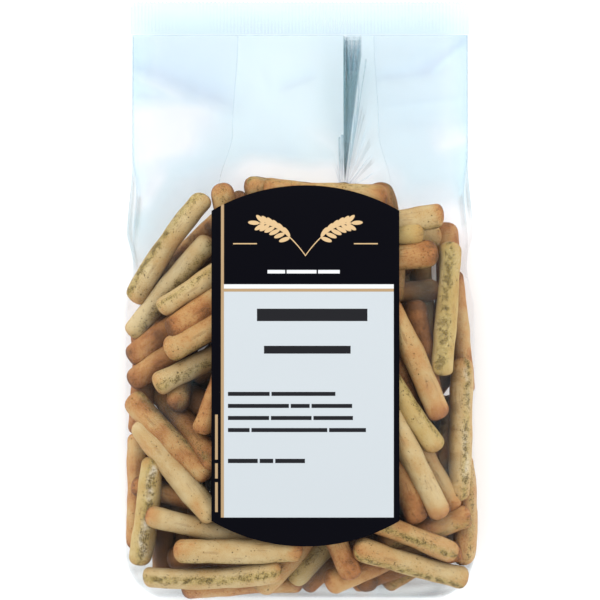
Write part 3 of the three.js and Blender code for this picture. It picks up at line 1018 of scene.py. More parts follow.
@dataclass(frozen=True)
class LabelFinish:
    """Coated label paper: a dark ground, a pale panel and plain bars for its print."""

    form: "LabelForm"
    name: str = "label_print"
    dark: tuple[float, float, float] = linear(9, 9, 15)
    pale: tuple[float, float, float] = linear(187, 193, 197)
    white: tuple[float, float, float] = linear(214, 215, 217)
    gold: tuple[float, float, float] = linear(168, 141, 107)
    bright_gold: tuple[float, float, float] = linear(200, 170, 128)
    ink: tuple[float, float, float] = linear(34, 34, 37)

    def material(self) -> bpy.types.Material:
        """Builds the material."""
        g = Graph(self.name)
        place = g.node("TexCoord")[3]
        x, y, _ = g.node("SeparateXYZ", {}, {"Vector": place})
        base: object = self.dark
        for colour, bars in self.form.print_bars():
            mask: Wire | None = None
            for bar in bars:
                spot = self._bar(x, y, bar)
                mask = spot if mask is None else mask.high(spot)
            base = g.mix(mask, base, getattr(self, colour))
        base = g.mix(self._ears(x, y), base, self.bright_gold)
        grain = g.noise(place, 2600.0, 2.0)
        shader = g.node("BsdfPrincipled", {}, {
            "Base Color": base,
            "Roughness": (0.4 + grain * 0.12).clamp(),
            "Specular IOR Level": 0.02,
            "Normal": g.bump(grain, 0.02 * MM, 0.5),
        })[0]
        return g.finish(shader)

    @staticmethod
    def _bar(x: Wire, y: Wire, bar: tuple[float, float, float, float]) -> Wire:
        """1 inside a plain bar given by its left, right, bottom and top, in metres."""
        left, right, bottom, top = bar
        across = abs(x - (left + right) / 2.0) - (right - left) / 2.0
        along = abs(y - (bottom + top) / 2.0) - (top - bottom) / 2.0
        return across.high(along).rise(0.06 * MM, -0.06 * MM)

    def _ears(self, x: Wire, y: Wire) -> Wire:
        """A pair of plain ears of grain that mirror each other about the label's middle."""
        middle, low, reach = self.form.ornament()
        aside = abs(x - middle)
        up = y - low
        stem_rise = 0.012 * (1.0 - (1.0 - aside / reach).clamp() ** 2.0)
        mask = abs(up - stem_rise).rise(0.34 * MM, 0.2 * MM) * (aside < reach)
        for index in range(6):
            share = 0.34 + 0.11 * index
            foot = (reach * share, 0.012 * (1.0 - (1.0 - share) ** 2))
            for side in (1.0, -1.0):
                lean = math.radians(26.0 - 22.0 * share + 38.0 * side)
                mask = mask.high(self._grain(aside, up, foot, lean, side))
        tip = (reach * 1.0, 0.012)
        return mask.high(self._grain(aside, up, tip, math.radians(4.0), 0.0)).clamp()

    @staticmethod
    def _grain(aside: Wire, up: Wire, foot: tuple[float, float], lean: float, side: float) -> Wire:
        """One grain of an ear: a leaf-like spot that grows from its foot at a lean."""
        length, width = 2.1 * MM, 0.78 * MM
        middle = (foot[0] + length * math.cos(lean), foot[1] + length * math.sin(lean) + 0.15 * MM * side)
        along = (aside - middle[0]) * math.cos(lean) + (up - middle[1]) * math.sin(lean)
        across = (up - middle[1]) * math.cos(lean) - (aside - middle[0]) * math.sin(lean)
        return ((along / length) ** 2.0 + (across / width) ** 2.0).rise(1.1, 0.85)


@dataclass(frozen=True)
class FloorFinish:
    """A plain, pale studio floor, faintly lit from below."""

    name: str = "studio_floor"
    colour: tuple[float, float, float] = (0.93, 0.93, 0.93)
    glow: float = 0.14

    def material(self) -> bpy.types.Material:
        """Builds the material."""
        g = Graph(self.name)
        shader = g.node("BsdfPrincipled", {}, {
            "Base Color": (*self.colour, 1.0),
            "Roughness": 0.9,
            "Specular IOR Level": 0.0,
            "Emission Color": (1.0, 1.0, 1.0, 1.0),
            "Emission Strength": self.glow,
        })[0]
        return g.finish(shader)


# ---- Breadsticks --------------------------------------------------------------------


@dataclass
class Breadsticks:
    """The sticks' meshes, in three pieces from the front of the heap to its back."""

    heap: Heap
    form: BagForm
    wall: BVHTree
    finish: CrustFinish = CrustFinish()
    around: int = 28
    along: int = 52
    seed: int = 7
    cap: float = 0.24

    def build(self) -> list[bpy.types.Object]:
        """Makes and dresses the pieces.

        Returns:
            One object for each layer of the heap, front first.
        """
        material = self.finish.material()
        pattern = added("stick_pattern", bpy.ops.mesh.primitive_uv_sphere_add,
                        segments=self.around, ring_count=self.along, radius=1.0)
        pattern.data.uv_layers[0].name = "grain"
        unit = points_of(pattern)
        order = np.argsort(-self.heap.middles[:, 2])
        pieces = []
        for name, layer in zip(("sticks_front", "sticks_middle", "sticks_back"), np.array_split(order, 3)):
            copies = [self._stick(pattern, unit, int(index)) for index in layer]
            bpy.ops.object.select_all(action="DESELECT")
            for copy in copies:
                copy.select_set(True)
            bpy.context.view_layer.objects.active = copies[0]
            bpy.ops.object.join()
            piece = bpy.context.active_object
            piece.name = piece.data.name = name
            only(piece)
            bpy.ops.object.shade_smooth()
            handed_over(piece, "bag", material)
            pieces.append(piece)
        bpy.data.objects.remove(pattern)
        return pieces

    def _stick(self, pattern: bpy.types.Object, unit: np.ndarray, index: int) -> bpy.types.Object:
        """Copies the pattern and shapes it into one stick.

        Args:
            pattern: A unit sphere with its poles on Z.
            unit: The pattern's vertices.
            index: Which stick of the heap.

        Returns:
            The stick, in place.
        """
        rng = np.random.default_rng(1000 * self.seed + index)
        heap = self.heap
        lie = SHOWN[index] if index < len(SHOWN) else None
        radius = heap.radii[index]
        half = heap.halves[index] + 0.8 * radius
        stripe = math.radians(lie.stripe if lie else rng.uniform(0.0, 360.0))
        pole = np.arccos(np.clip(unit[:, 2], -1.0, 1.0)) / math.pi
        angle = np.arctan2(unit[:, 1], unit[:, 0])
        along = self._spread(pole, radius / half)
        girth = self._end_round((1.0 - np.abs(along)) * half / radius, rng, along)
        waves = rng.uniform(0.0, TAU, 6)
        uneven = (
            1.0
            + 0.045 * np.sin(2.6 * along + waves[0])
            + 0.03 * np.sin(6.5 * along + waves[1])
            + 0.03 * np.cos(2.0 * (angle - waves[2]))
            + 0.02 * np.sin(3.0 * angle + 3.0 * along + waves[3])
            + 0.016 * np.sin(11.0 * along + 2.0 * angle + waves[4])
            + 0.01 * np.sin(19.0 * along - 4.0 * angle + waves[5])
        )
        split = self._split(along, angle - stripe, lie, waves)
        size = radius * girth * (uneven - 0.10 * split)
        bow = rng.normal(0.0, 0.7 * MM) * (1.0 - along**2)
        sway = rng.normal(0.0, 0.4 * MM) * np.sin(math.pi * along)
        axis = Vector(heap.headings[index])
        left = Vector((0.0, 0.0, 1.0)).cross(axis).normalized()
        top = axis.cross(left)
        local = (
            np.outer(along * half, axis)
            + np.outer(size * np.sin(angle) + bow, left)
            + np.outer(size * np.cos(angle) + sway * 0.5, top)
        )
        stick = pattern.copy()
        stick.data = pattern.data.copy()
        bpy.context.collection.objects.link(stick)
        points = local + heap.middles[index]
        roof = self.form.crown(points[:, 0], points[:, 1]) - 0.35 * MM
        points[:, 2] = np.clip(points[:, 2], 0.3 * MM, roof)
        place_points(stick, points)
        self._paint(stick, along, angle - stripe, lie, split, rng)
        outward = np.outer(np.sin(angle), left) + np.outer(np.cos(angle), top)
        # Painted shade for the crust's finish: dark deep in the heap and on flanks turned from the film.
        store_values(stick, "painted_shade", self._painted_shade(points, outward))
        return stick

    def _painted_shade(self, points: np.ndarray, outward: np.ndarray) -> np.ndarray:
        """The painted shade at each point of a stick, from 0 to 1, for how little light reaches it.

        Args:
            points: The stick's points.
            outward: The directions away from its spine.

        Returns:
            0 next to the film and facing it, 1 deep in the heap or turned away.
        """
        painted_shade = np.empty(len(points))
        for index, point in enumerate(points):
            _, normal, _, distance = self.wall.find_nearest(Vector(point))
            facing = float(np.dot(outward[index], normal))
            turned = min(max((0.55 - facing) / 1.1, 0.0), 1.0)
            deep = min(max((distance - 3.0 * MM) / (11.0 * MM), 0.0), 1.0)
            painted_shade[index] = 1.0 - (1.0 - 0.6 * turned) * (1.0 - 0.85 * deep)
        return painted_shade

    def _spread(self, pole: np.ndarray, end: float) -> np.ndarray:
        """Places the pattern's rings along a stick, close together at its two ends.

        Args:
            pole: From 0 at one pole to 1 at the other.
            end: An end's length as a share of half the stick.

        Returns:
            From -1 to 1 along the stick.
        """
        off = np.abs(2.0 * pole - 1.0)
        cap = np.clip((1.0 - off) / self.cap, 0.0, 1.0)
        in_cap = 1.0 - end * (1.0 - np.cos(cap * math.pi / 2.0))
        in_body = (1.0 - end) * off / (1.0 - self.cap)
        return np.where(off > 1.0 - self.cap, in_cap, in_body) * np.sign(pole - 0.5)

    @staticmethod
    def _end_round(inward: np.ndarray, rng: np.random.Generator, along: np.ndarray) -> np.ndarray:
        """The girth near the two blunt ends, as a share of the stick's radius.

        Args:
            inward: The distance in from the nearer end, in radii.
            rng: Draws how blunt each end is.
            along: From -1 to 1 along the stick.

        Returns:
            0 at the very end, rising to 1.
        """
        blunt = np.where(along > 0.0, rng.uniform(2.0, 3.0), rng.uniform(2.0, 3.0))
        reach = np.where(along > 0.0, rng.uniform(0.7, 1.0), rng.uniform(0.7, 1.0))
        share = np.clip(1.0 - inward / reach, 0.0, 1.0)
        return (1.0 - share**blunt) ** (1.0 / 2.3)

    @staticmethod
    def _split(along: np.ndarray, round_: np.ndarray, lie: Lie | None, waves: np.ndarray) -> np.ndarray:
        """A wandering split along the herb stripe: 1 in the middle of it, 0 clear of it."""
        wander = round_ + 0.16 * np.sin(7.0 * along + waves[4]) + 0.09 * np.sin(17.0 * along + waves[5])
        turn = np.abs((wander + math.pi) % TAU - math.pi)
        deep = 0.35 + (0.65 * lie.flour if lie else 0.0)
        broken = 0.5 + 0.5 * np.sin(9.0 * along + waves[5]) * np.sin(4.0 * along + waves[3])
        return deep * np.exp(-((turn / 0.22) ** 2)) * smoothstep(1.0 - np.abs(along), 0.06, 0.25) * broken

    @staticmethod
    def _paint(
        stick: bpy.types.Object,
        along: np.ndarray,
        round_: np.ndarray,
        lie: Lie | None,
        split: np.ndarray,
        rng: np.random.Generator,
    ) -> None:
        """Stores how baked, olive, herby and floury each point of a stick is.

        Args:
            stick: The stick.
            along: From -1 to 1 along it, for each vertex.
            round_: The angle from its herb stripe.
            lie: How the stick lies and is baked, if it shows.
            split: How deep the split is at each vertex.
            rng: Draws what the lie leaves open.
        """
        bake = lie.bake.value if lie else rng.choice([0.3, 0.42, 0.5, 0.62, 0.78])
        herbs = lie.herbs if lie else rng.uniform(0.0, 0.9)
        flour = lie.flour if lie else 0.6 * (rng.random() > 0.7)
        ends = np.clip((np.abs(along) - rng.uniform(0.72, 0.82)) / 0.26, 0.0, 1.0) ** 1.3
        strength = np.where(along > 0.0, rng.uniform(0.2, 0.62), rng.uniform(0.2, 0.62))
        turned = np.abs((round_ + math.pi) % TAU - math.pi)
        stripe = np.exp(-((turned / rng.uniform(0.26, 0.42)) ** 2))
        brown_side = 0.5 - 0.5 * np.cos(round_ + rng.uniform(0.0, TAU))
        tone = bake + strength * ends + 0.12 * (brown_side - 0.5)
        olive = 0.06 + 0.7 * (lie is not None and lie.bake is Bake.OLIVE) + 0.35 * herbs * stripe
        values = np.column_stack([
            np.clip(tone, 0.0, 1.0),
            np.clip(olive, 0.0, 1.0) * np.ones_like(tone),
            np.clip(herbs * (1.15 * stripe + 0.045), 0.0, 1.0),
            np.clip(flour * split * 1.6, 0.0, 1.0),
        ])
        layer = stick.data.color_attributes.new("crust", "FLOAT_COLOR", "POINT")
        layer.data.foreach_set("color", values.ravel())


# ---- Film ---------------------------------------------------------------------------


@dataclass(frozen=True)
class Crease:
    """A fold in the film of the head, between two points of the plan, in millimetres.

    It is steep on the right of its run and soft on the left.

    Attributes:
        start: Where it starts.
        end: Where it ends.
        width: How wide it is, to each side.
        height: How far it stands up, or lies down where it is negative.
    """

    start: tuple[float, float]
    end: tuple[float, float]
    width: float
    height: float

    def at(self, x: np.ndarray, y: np.ndarray) -> np.ndarray:
        """Its height over points of the plan, all in metres."""
        start, end = np.array(self.start) * MM, np.array(self.end) * MM
        run = end - start
        length = float(np.hypot(*run))
        along = ((x - start[0]) * run[0] + (y - start[1]) * run[1]) / length
        right = ((x - start[0]) * run[1] - (y - start[1]) * run[0]) / length
        aside = np.abs(right) / np.where(right > 0.0, 0.4, 1.2)
        ends = smoothstep(along, -0.2 * length, 0.25 * length) * smoothstep(along, 1.2 * length, 0.75 * length)
        return self.height * MM * ends * np.exp(-((aside / (self.width * MM)) ** 1.5))


FRONT_CREASES = (
    # left gusset
    Crease((-64, 88), (-24, 72), 6.5, 1.6),
    Crease((-62, 82), (-27, 69), 3.0, -0.6),
    Crease((-62, 76), (-50, 75), 3.0, 0.9),
    Crease((-41, 42), (-28, 52), 5.0, 0.3),
    # between the gussets
    Crease((-7, 78), (6, 83), 3.4, 1.0),
    Crease((-22, 50), (1, 52), 9.0, 0.8),
    Crease((14, 63), (24, 67), 3.0, -0.6),
    Crease((-14, 86), (-11, 76), 2.0, -0.4),
    # right gusset
    Crease((28, 82), (52, 84.5), 3.6, 1.1),
    Crease((46, 84), (63, 98), 4.4, 1.6),
    Crease((33, 65), (62, 66), 5.5, 0.45),
    Crease((30, 72), (60, 75), 2.0, -0.5),
)
BACK_CREASES = (
    Crease((-58, 92), (-12, 62), 5.0, -1.2),
    Crease((4, 88), (30, 60), 5.0, -1.0),
    Crease((62, 84), (34, 72), 4.0, 1.0),
    Crease((-30, 60), (-16, 86), 4.0, 0.9),
)
# Painted highlights on the head: there the haze is left out, so the film shows bright in place of reflections
# of the lights.
PAINTED_HIGHLIGHTS = (
    Crease((-30, 71), (-62, 69), 8.0, 0.9),
    Crease((-60, 52), (-38, 59), 9.0, 0.9),
    Crease((-60, 82), (-44, 75), 2.2, 0.6),
    Crease((50, 56), (62, 60), 6.0, 0.7),
    Crease((4, 62), (28, 46), 4.0, 0.4),
    Crease((-60, 32), (-50, 48), 7.0, 0.8),
)


@dataclass
class Film:
    """The clear film: two panels and two gussets, sunk over the sticks."""

    form: BagForm
    label: "LabelForm"
    finish: FilmFinish = FilmFinish("clear_film")
    panel_steps: int = 82
    side_steps: int = 12
    fold_sharpness: float = 1.5
    rings: int = 132
    rounds: int = 7
    clearance: float = 0.2 * MM

    def blank(self, name: str) -> bpy.types.Object:
        """Makes the film's smooth form, closed at both ends.

        Args:
            name: The new object's name.

        Returns:
            The object, with no finish yet.
        """
        around = 2 * (self.panel_steps + self.side_steps)
        piece = added(name, bpy.ops.mesh.primitive_grid_add,
                      x_subdivisions=around, y_subdivisions=self.rings - 1, size=1.0)
        unit = points_of(piece)
        column = np.rint((unit[:, 0] + 0.5) * around).astype(int) % around
        row = np.rint((unit[:, 1] + 0.5) * (self.rings - 1)).astype(int)
        place_points(piece, self._rings()[row, column])
        sideways = column % (self.panel_steps + self.side_steps) > self.panel_steps
        store_values(piece, "tucked", sideways * self.form.fold(points_of(piece)[:, 1]))
        in_edit_mode(
            piece,
            lambda: bpy.ops.mesh.remove_doubles(threshold=0.002 * MM),
            lambda: bpy.ops.mesh.delete_loose(),
            lambda: bpy.ops.mesh.normals_make_consistent(inside=False),
        )
        return piece

    def _rings(self) -> np.ndarray:
        """The film's outlines from its bottom end into the seal."""
        form = self.form
        even = np.linspace(-1.0, 1.0, self.panel_steps + 1)
        panel = 0.7 * even + 0.3 * np.sin(even * math.pi / 2.0)
        down = np.linspace(-1.0, 1.0, self.side_steps + 1)[1:-1]
        side = 0.5 + 0.5 * np.sign(down) * np.abs(down) ** self.fold_sharpness
        turn = np.linspace(0.0, math.pi / 2.0, 13)
        bottom = form.low.y + form.end_round * (1.0 - np.cos(turn))
        body = np.linspace(form.low.y + form.end_round, form.seal_start, self.rings - len(bottom))[1:]
        tucked = form.seal_start + np.array([0.5, 1.0]) * MM
        y = np.concatenate([bottom, body, tucked])[: self.rings]
        rings = form.section(y, panel, side)
        rings[-1, :, 2] = form.seal_height
        shut = smoothstep(y, form.seal_start - 12.0 * MM, form.seal_start)[:, None]
        rings[:, :, 2] += shut * seal_wave(rings[:, :, 0])
        return rings

    def build(self, sticks: list[bpy.types.Object]) -> bpy.types.Object:
        """Sinks the film over the sticks and dresses it.

        Args:
            sticks: The pieces that it lies on.

        Returns:
            The finished film.
        """
        piece = self.blank("film")
        contents = self._joined(sticks)
        points = points_of(piece)
        weights = self._sinks(points)
        group = piece.vertex_groups.new(name="sinks")
        for index, weight in enumerate(weights):
            if weight > 0.001:
                group.add([index], float(weight), "REPLACE")
        for _ in range(self.rounds):
            modified(piece, "SMOOTH", factor=0.5, iterations=4, vertex_group="sinks")
            self._clear_of(piece, contents, self.clearance + 0.1 * MM)
        self._fold_head(piece)
        modified(piece, "SUBSURF", levels=1, render_levels=1)
        self._clear_of(piece, contents, self.clearance)
        piece.vertex_groups.clear()
        self._mark_free(piece, contents)
        bpy.data.objects.remove(contents)
        only(piece)
        bpy.ops.object.shade_smooth()
        handed_over(piece, "bag", self.finish.material())
        return piece

    @staticmethod
    def _joined(sticks: list[bpy.types.Object]) -> bpy.types.Object:
        """A joined copy of the sticks, to lay the film on."""
        copies = []
        for stick in sticks:
            copy = stick.copy()
            copy.data = stick.data.copy()
            bpy.context.collection.objects.link(copy)
            copies.append(copy)
        bpy.ops.object.select_all(action="DESELECT")
        for copy in copies:
            copy.select_set(True)
        bpy.context.view_layer.objects.active = copies[0]
        bpy.ops.object.join()
        return bpy.context.active_object

    def _sinks(self, points: np.ndarray) -> np.ndarray:
        """How free the film is to sink at each point, from 0 to 1."""
        x, y, z = points.T
        form = self.form
        filled = smoothstep(y, form.fill_end + 14.0 * MM, form.fill_end - 4.0 * MM)
        front = z > form.crown(x, y) - 3.0 * MM
        held = front * (1.0 - self.label.outside(x, y, 5.0 * MM))
        folded = smoothstep(form.fold(y), 0.1, 0.5) * ~front * (z > form.back_edge(y) - 1.0 * MM)
        return filled * (1.0 - held) * (1.0 - folded)

    def _clear_of(self, piece: bpy.types.Object, contents: bpy.types.Object, offset: float) -> None:
        """Lifts the film off the sticks and keeps it on the table."""
        modified(piece, "SHRINKWRAP", target=contents, wrap_method="NEAREST_SURFACEPOINT",
                 wrap_mode="OUTSIDE", offset=offset)
        points = points_of(piece)
        points[:, 2] = np.maximum(points[:, 2], 0.05 * MM)
        place_points(piece, points)

    def _mark_free(self, piece: bpy.types.Object, contents: bpy.types.Object) -> None:
        """Stores how far the film hangs free of the sticks, how it is creased, where it is clear of haze, over
        the sticks and in painted highlights, and its painted grey shade at the bottom end.
        """
        tree = BVHTree.FromObject(contents, bpy.context.evaluated_depsgraph_get())
        reach = 14.0 * MM
        places = [Vector(point) for point in points_of(piece)]
        found = [tree.find_nearest(place, reach)[3] for place in places]
        away = np.array([reach if distance is None else distance for distance in found])
        ways = (Vector((0.0, 0.0, -1.0)), Vector((0.0, 0.0, 1.0)))
        backed = np.array([any(tree.ray_cast(place, way)[0] for way in ways) for place in places])
        x, y, z = points_of(piece).T
        form = self.form
        end = form.seal_start
        # Where the head is creased, for the painted shade in its folds.
        creased = np.clip(sum(abs(crease.at(x, y)) for crease in FRONT_CREASES) / (1.6 * MM), 0.0, 1.0)
        # Clear of haze where sticks lie behind, and in the painted highlights.
        clear_and_highlit = np.clip(sum(highlight.at(x, y) for highlight in PAINTED_HIGHLIGHTS) / MM + backed, 0.0, 1.0)
        free = smoothstep(away, 4.0 * MM, 11.0 * MM) * smoothstep(y, end + 1.0 * MM, end)
        free = free * (1.0 - 0.5 * backed)
        # Painted shade: a streaked grey veil on the lower, back film near the bottom end, lighter to the left.
        foot = smoothstep(y, form.low.y + 22.0 * MM, form.low.y + 14.0 * MM)
        under = smoothstep(z, form.end_height, form.end_height - 5.0 * MM)
        streaks = 0.75 + 0.25 * np.sin(y / (0.8 * MM) + 1.7 * np.sin(x / (16.0 * MM)))
        shading = foot * under * streaks * (0.5 + 0.5 * smoothstep(x, -52.0 * MM, -20.0 * MM))
        store_slack(piece, free, free * creased, free * clear_and_highlit, shading)

    def _fold_head(self, piece: bpy.types.Object) -> None:
        """Creases the empty head's two panels."""
        form = self.form
        points = points_of(piece)
        x, y, z = points.T
        empty = smoothstep(y, form.fill_end + 2.0 * MM, form.fill_end + 16.0 * MM)
        empty = empty * smoothstep(y, form.seal_start, form.seal_start - 5.0 * MM)
        middle = (form.front_edge(y) + form.back_edge(y)) / 2.0
        rise = np.abs(z - middle) / np.maximum(form.front_edge(y) - middle, 0.1 * MM)
        outer = smoothstep(rise, 0.5, 0.95)
        front = sum(crease.at(x, y) for crease in FRONT_CREASES)
        back = sum(crease.at(x, y) for crease in BACK_CREASES)
        ripple = 0.25 * MM * np.sin(x / (3.1 * MM) + 2.0 * np.sin(y / (9.0 * MM))) * np.sin(y / (14.0 * MM))
        points[:, 2] += empty * outer * np.where(z > middle, front + ripple, back - ripple)
        place_points(piece, points)


def store_slack(
    piece: bpy.types.Object,
    free: np.ndarray,
    creased: np.ndarray,
    clear_and_highlit: np.ndarray,
    shading: np.ndarray,
) -> None:
    """Stores the attribute "slack" that the film's finish reads.

    Args:
        piece: A piece of film.
        free: How free the film is at each vertex, from 0 to 1.
        creased: How sharply it is creased, which the finish darkens with a painted shade, from 0 to 1.
        clear_and_highlit: How clear it is of haze, over the sticks and in painted highlights, from 0 to 1.
        shading: How strong a painted grey shade is there, from 0 to 1.
    """
    layer = piece.data.color_attributes.new("slack", "FLOAT_COLOR", "POINT")
    layer.data.foreach_set("color", np.column_stack([free, creased, clear_and_highlit, shading]).ravel())


def seal_wave(x: np.ndarray) -> np.ndarray:
    """How far the crimped band waves up and down along its width."""
    return 0.7 * MM * np.sin(x / (21.0 * MM) + 0.6) + 0.35 * MM * np.sin(x / (8.5 * MM))


@dataclass
class CrimpedSeal:
    """The crimped band across the top: fused film, ribbed and cut in a zigzag."""

    form: BagForm
    # Its crease shade is a faint painted shade in the rib valleys.
    finish: FilmFinish = FilmFinish(
        "crimped_film", gloss=0.2, mirror=1.3, haze=0.12, crease=0.1, haze_colour=(0.03, 0.5, 0.62),
        crease_shade_colour=(0.5, 0.5, 0.8), crinkle=0.02 * MM,
    )
    rib_pitch: float = 1.27 * MM
    rib_depth: float = 0.12 * MM
    cross_pitch: float = 1.1 * MM
    tooth_pitch: float = 1.5 * MM
    tooth_depth: float = 0.8 * MM
    corner: float = 3.0 * MM
    thickness: float = 0.16 * MM
    columns: int = 504
    rows: int = 40

    def build(self) -> bpy.types.Object:
        """Makes and dresses the band.

        Returns:
            The finished band.
        """
        form = self.form
        piece = added("crimped_seal", bpy.ops.mesh.primitive_grid_add,
                      x_subdivisions=self.columns, y_subdivisions=self.rows, size=1.0)
        unit = points_of(piece)
        up = unit[:, 1] + 0.5
        half = form.head_width / 2.0
        x = unit[:, 0] * 2.0 * half
        past = np.clip(np.abs(x) - (half - self.corner), 0.0, self.corner)
        top = form.high.y - self.corner + np.sqrt(self.corner**2 - past**2)
        tooth = np.abs((x / self.tooth_pitch) % 1.0 - 0.5) * 2.0
        top = top - self.tooth_depth * (1.0 - tooth)
        y = form.seal_start + up * (top - form.seal_start)
        ribs = np.sin(TAU * x / self.rib_pitch) * (0.55 + 0.45 * np.cos(TAU * y / self.cross_pitch))
        fade = smoothstep(up, 0.0, 0.08) * smoothstep(up, 1.0, 0.94)
        z = form.seal_height + seal_wave(x) + self.rib_depth * ribs * fade
        place_points(piece, np.column_stack([x, y, z]))
        modified(piece, "SOLIDIFY", thickness=self.thickness, offset=0.0)
        smooth_shaded(piece, 50.0)
        x, y, _ = points_of(piece).T
        # Painted shade in the rib valleys, in rows and patches, stored as the film's crease.
        valleys = 0.5 - 0.5 * np.sin(TAU * x / self.rib_pitch)
        rows = 0.5 + 0.5 * np.cos(TAU * y / self.cross_pitch)
        patches = 0.5 + 0.5 * np.sin(x / (9.0 * MM)) * np.sin(y / (4.0 * MM) + x / (17.0 * MM))
        begun = smoothstep(y, form.seal_start, form.seal_start + 1.0 * MM)
        store_slack(piece, begun, begun * valleys * (0.25 + 0.75 * rows) * patches, 0.0 * x, 0.0 * x)
        handed_over(piece, "bag", self.finish.material())
        return piece


# ---- Label --------------------------------------------------------------------------


@dataclass(frozen=True)
class LabelForm:
    """The label's outline and print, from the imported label's box."""

    low: Vector
    high: Vector
    bow: float = 9.4 * MM

    @property
    def middle(self) -> tuple[float, float]:
        """The label's middle in the plan."""
        return ((self.low.x + self.high.x) / 2.0, (self.low.y + self.high.y) / 2.0)

    @property
    def half_width(self) -> float:
        """Half the label's width."""
        return (self.high.x - self.low.x) / 2.0

    def reach(self, aside: np.ndarray) -> np.ndarray:
        """How far the label reaches along the bag at this distance sideways."""
        radius = self.half_width**2 / (2.0 * self.bow) + self.bow / 2.0
        half = (self.high.y - self.low.y) / 2.0
        return half - radius + np.sqrt(np.maximum(radius**2 - aside**2, 0.0))

    def outside(self, x: np.ndarray, y: np.ndarray, margin: float) -> np.ndarray:
        """0 under the label, rising to 1 at a margin beyond its edge."""
        aside = np.abs(x - self.middle[0])
        along = np.abs(y - self.middle[1])
        return smoothstep(np.maximum(aside - self.half_width, along - self.reach(aside)), 0.0, margin)

    def print_bars(self) -> tuple[tuple[str, list[tuple[float, float, float, float]]], ...]:
        """The label's fields and bars, in the order in which they are laid down.

        Returns:
            Pairs of a colour's name and its bars: left, right, bottom and top, in metres.
        """
        left, right = self.low.x, self.high.x
        top = self.high.y
        panel_left, panel_right = left + 4.6 * MM, right - 2.1 * MM
        panel_top = top - 38.2 * MM
        panel_foot = top - 122.7 * MM
        rule = [(panel_left, panel_right, panel_top - 1.1 * MM, panel_top)]
        margin = [(left + 3.5 * MM, left + 4.6 * MM, panel_foot, top - 3.0 * MM)]
        strip = [(panel_left, panel_right, panel_top, panel_top + 1.6 * MM)]
        panel = [(panel_left, panel_right, panel_foot, panel_top - 1.1 * MM)]
        words = [
            *self._line(panel_left + 12.2 * MM, panel_top - 12.0 * MM, 4.6, (40.8,)),
            *self._line(panel_left + 14.8 * MM, panel_top - 24.0 * MM, 2.9, (32.0,)),
        ]
        for row, widths in enumerate(((15.4, 23.6), (22.5, 7.0, 15.0), (15.2, 15.0, 14.6), (8.0, 28.0, 13.6))):
            baseline = panel_top - (39.6 + 4.45 * row) * MM
            words += self._line(panel_left + 1.5 * MM, baseline, 1.5, widths)
        words += self._line(panel_left + 1.5 * MM, panel_top - 64.4 * MM, 1.6, (11.0, 5.0, 11.0))
        motto = self._line(self.middle[0] - 14.0 * MM, top - 32.6 * MM, 1.3, (6.5, 11.0, 8.0))
        small = [
            (left + 1.35 * MM, left + 2.35 * MM, low * MM + panel_foot, high * MM + panel_foot)
            for low, high in ((2.0, 13.0), (14.4, 20.0), (21.4, 38.0))
        ]
        flanks = [
            (self.middle[0] + side * 31.0 * MM - 4.4 * MM, self.middle[0] + side * 31.0 * MM + 4.4 * MM,
             top - 21.8 * MM, top - 21.4 * MM)
            for side in (-0.72, 0.72)
        ]
        return (
            ("white", strip),
            ("pale", panel),
            ("gold", rule + margin),
            ("bright_gold", flanks),
            ("white", motto),
            ("ink", words),
            ("gold", small),
        )

    @staticmethod
    def _line(left: float, baseline: float, height: float, widths: tuple[float, ...]) -> list[tuple]:
        """One line of plain bars in place of words.

        Args:
            left: Where the line starts, in metres.
            baseline: Its lower edge, in metres.
            height: Of its bars, in millimetres.
            widths: Of each bar, in millimetres.

        Returns:
            The bars.
        """
        bars, start = [], left
        for width in widths:
            bars.append((start, start + width * MM, baseline, baseline + height * MM))
            start += (width + 0.45 * height) * MM
        return bars

    def ornament(self) -> tuple[float, float, float]:
        """Where the pair of ears stands: its middle, its foot and how far each reaches."""
        return (self.middle[0], self.high.y - 26.0 * MM, 17.0 * MM)


@dataclass
class Label:
    """The paper label, bowed at its top and bottom and stuck over the film."""

    form: BagForm
    outline: LabelForm
    thickness: float = 0.22 * MM
    lift: float = 0.28 * MM
    columns: int = 96
    rows: int = 160

    def build(self) -> bpy.types.Object:
        """Makes and dresses the label.

        Returns:
            The finished label.
        """
        piece = added("label_sheet", bpy.ops.mesh.primitive_grid_add,
                      x_subdivisions=self.columns, y_subdivisions=self.rows, size=1.0)
        unit = points_of(piece)
        aside = unit[:, 0] * 2.0 * self.outline.half_width
        x = self.outline.middle[0] + aside
        y = self.outline.middle[1] + unit[:, 1] * 2.0 * self.outline.reach(aside)
        z = self.form.crown(x, y) + self.lift + self._waviness(x, y)
        place_points(piece, np.column_stack([x, y, z]))
        modified(piece, "SOLIDIFY", thickness=self.thickness, offset=-1.0)
        smooth_shaded(piece, 50.0)
        handed_over(piece, "label", LabelFinish(self.outline).material())
        return piece

    @staticmethod
    def _waviness(x: np.ndarray, y: np.ndarray) -> np.ndarray:
        """The slight unevenness that the sticks below give the paper."""
        return 0.09 * MM * (
            np.sin(x / (7.0 * MM) + 0.7 * np.sin(y / (11.0 * MM)))
            + np.sin(y / (9.0 * MM) + 0.9 * np.sin(x / (8.0 * MM)) + 1.0)
        )


# ---- Studio -------------------------------------------------------------------------


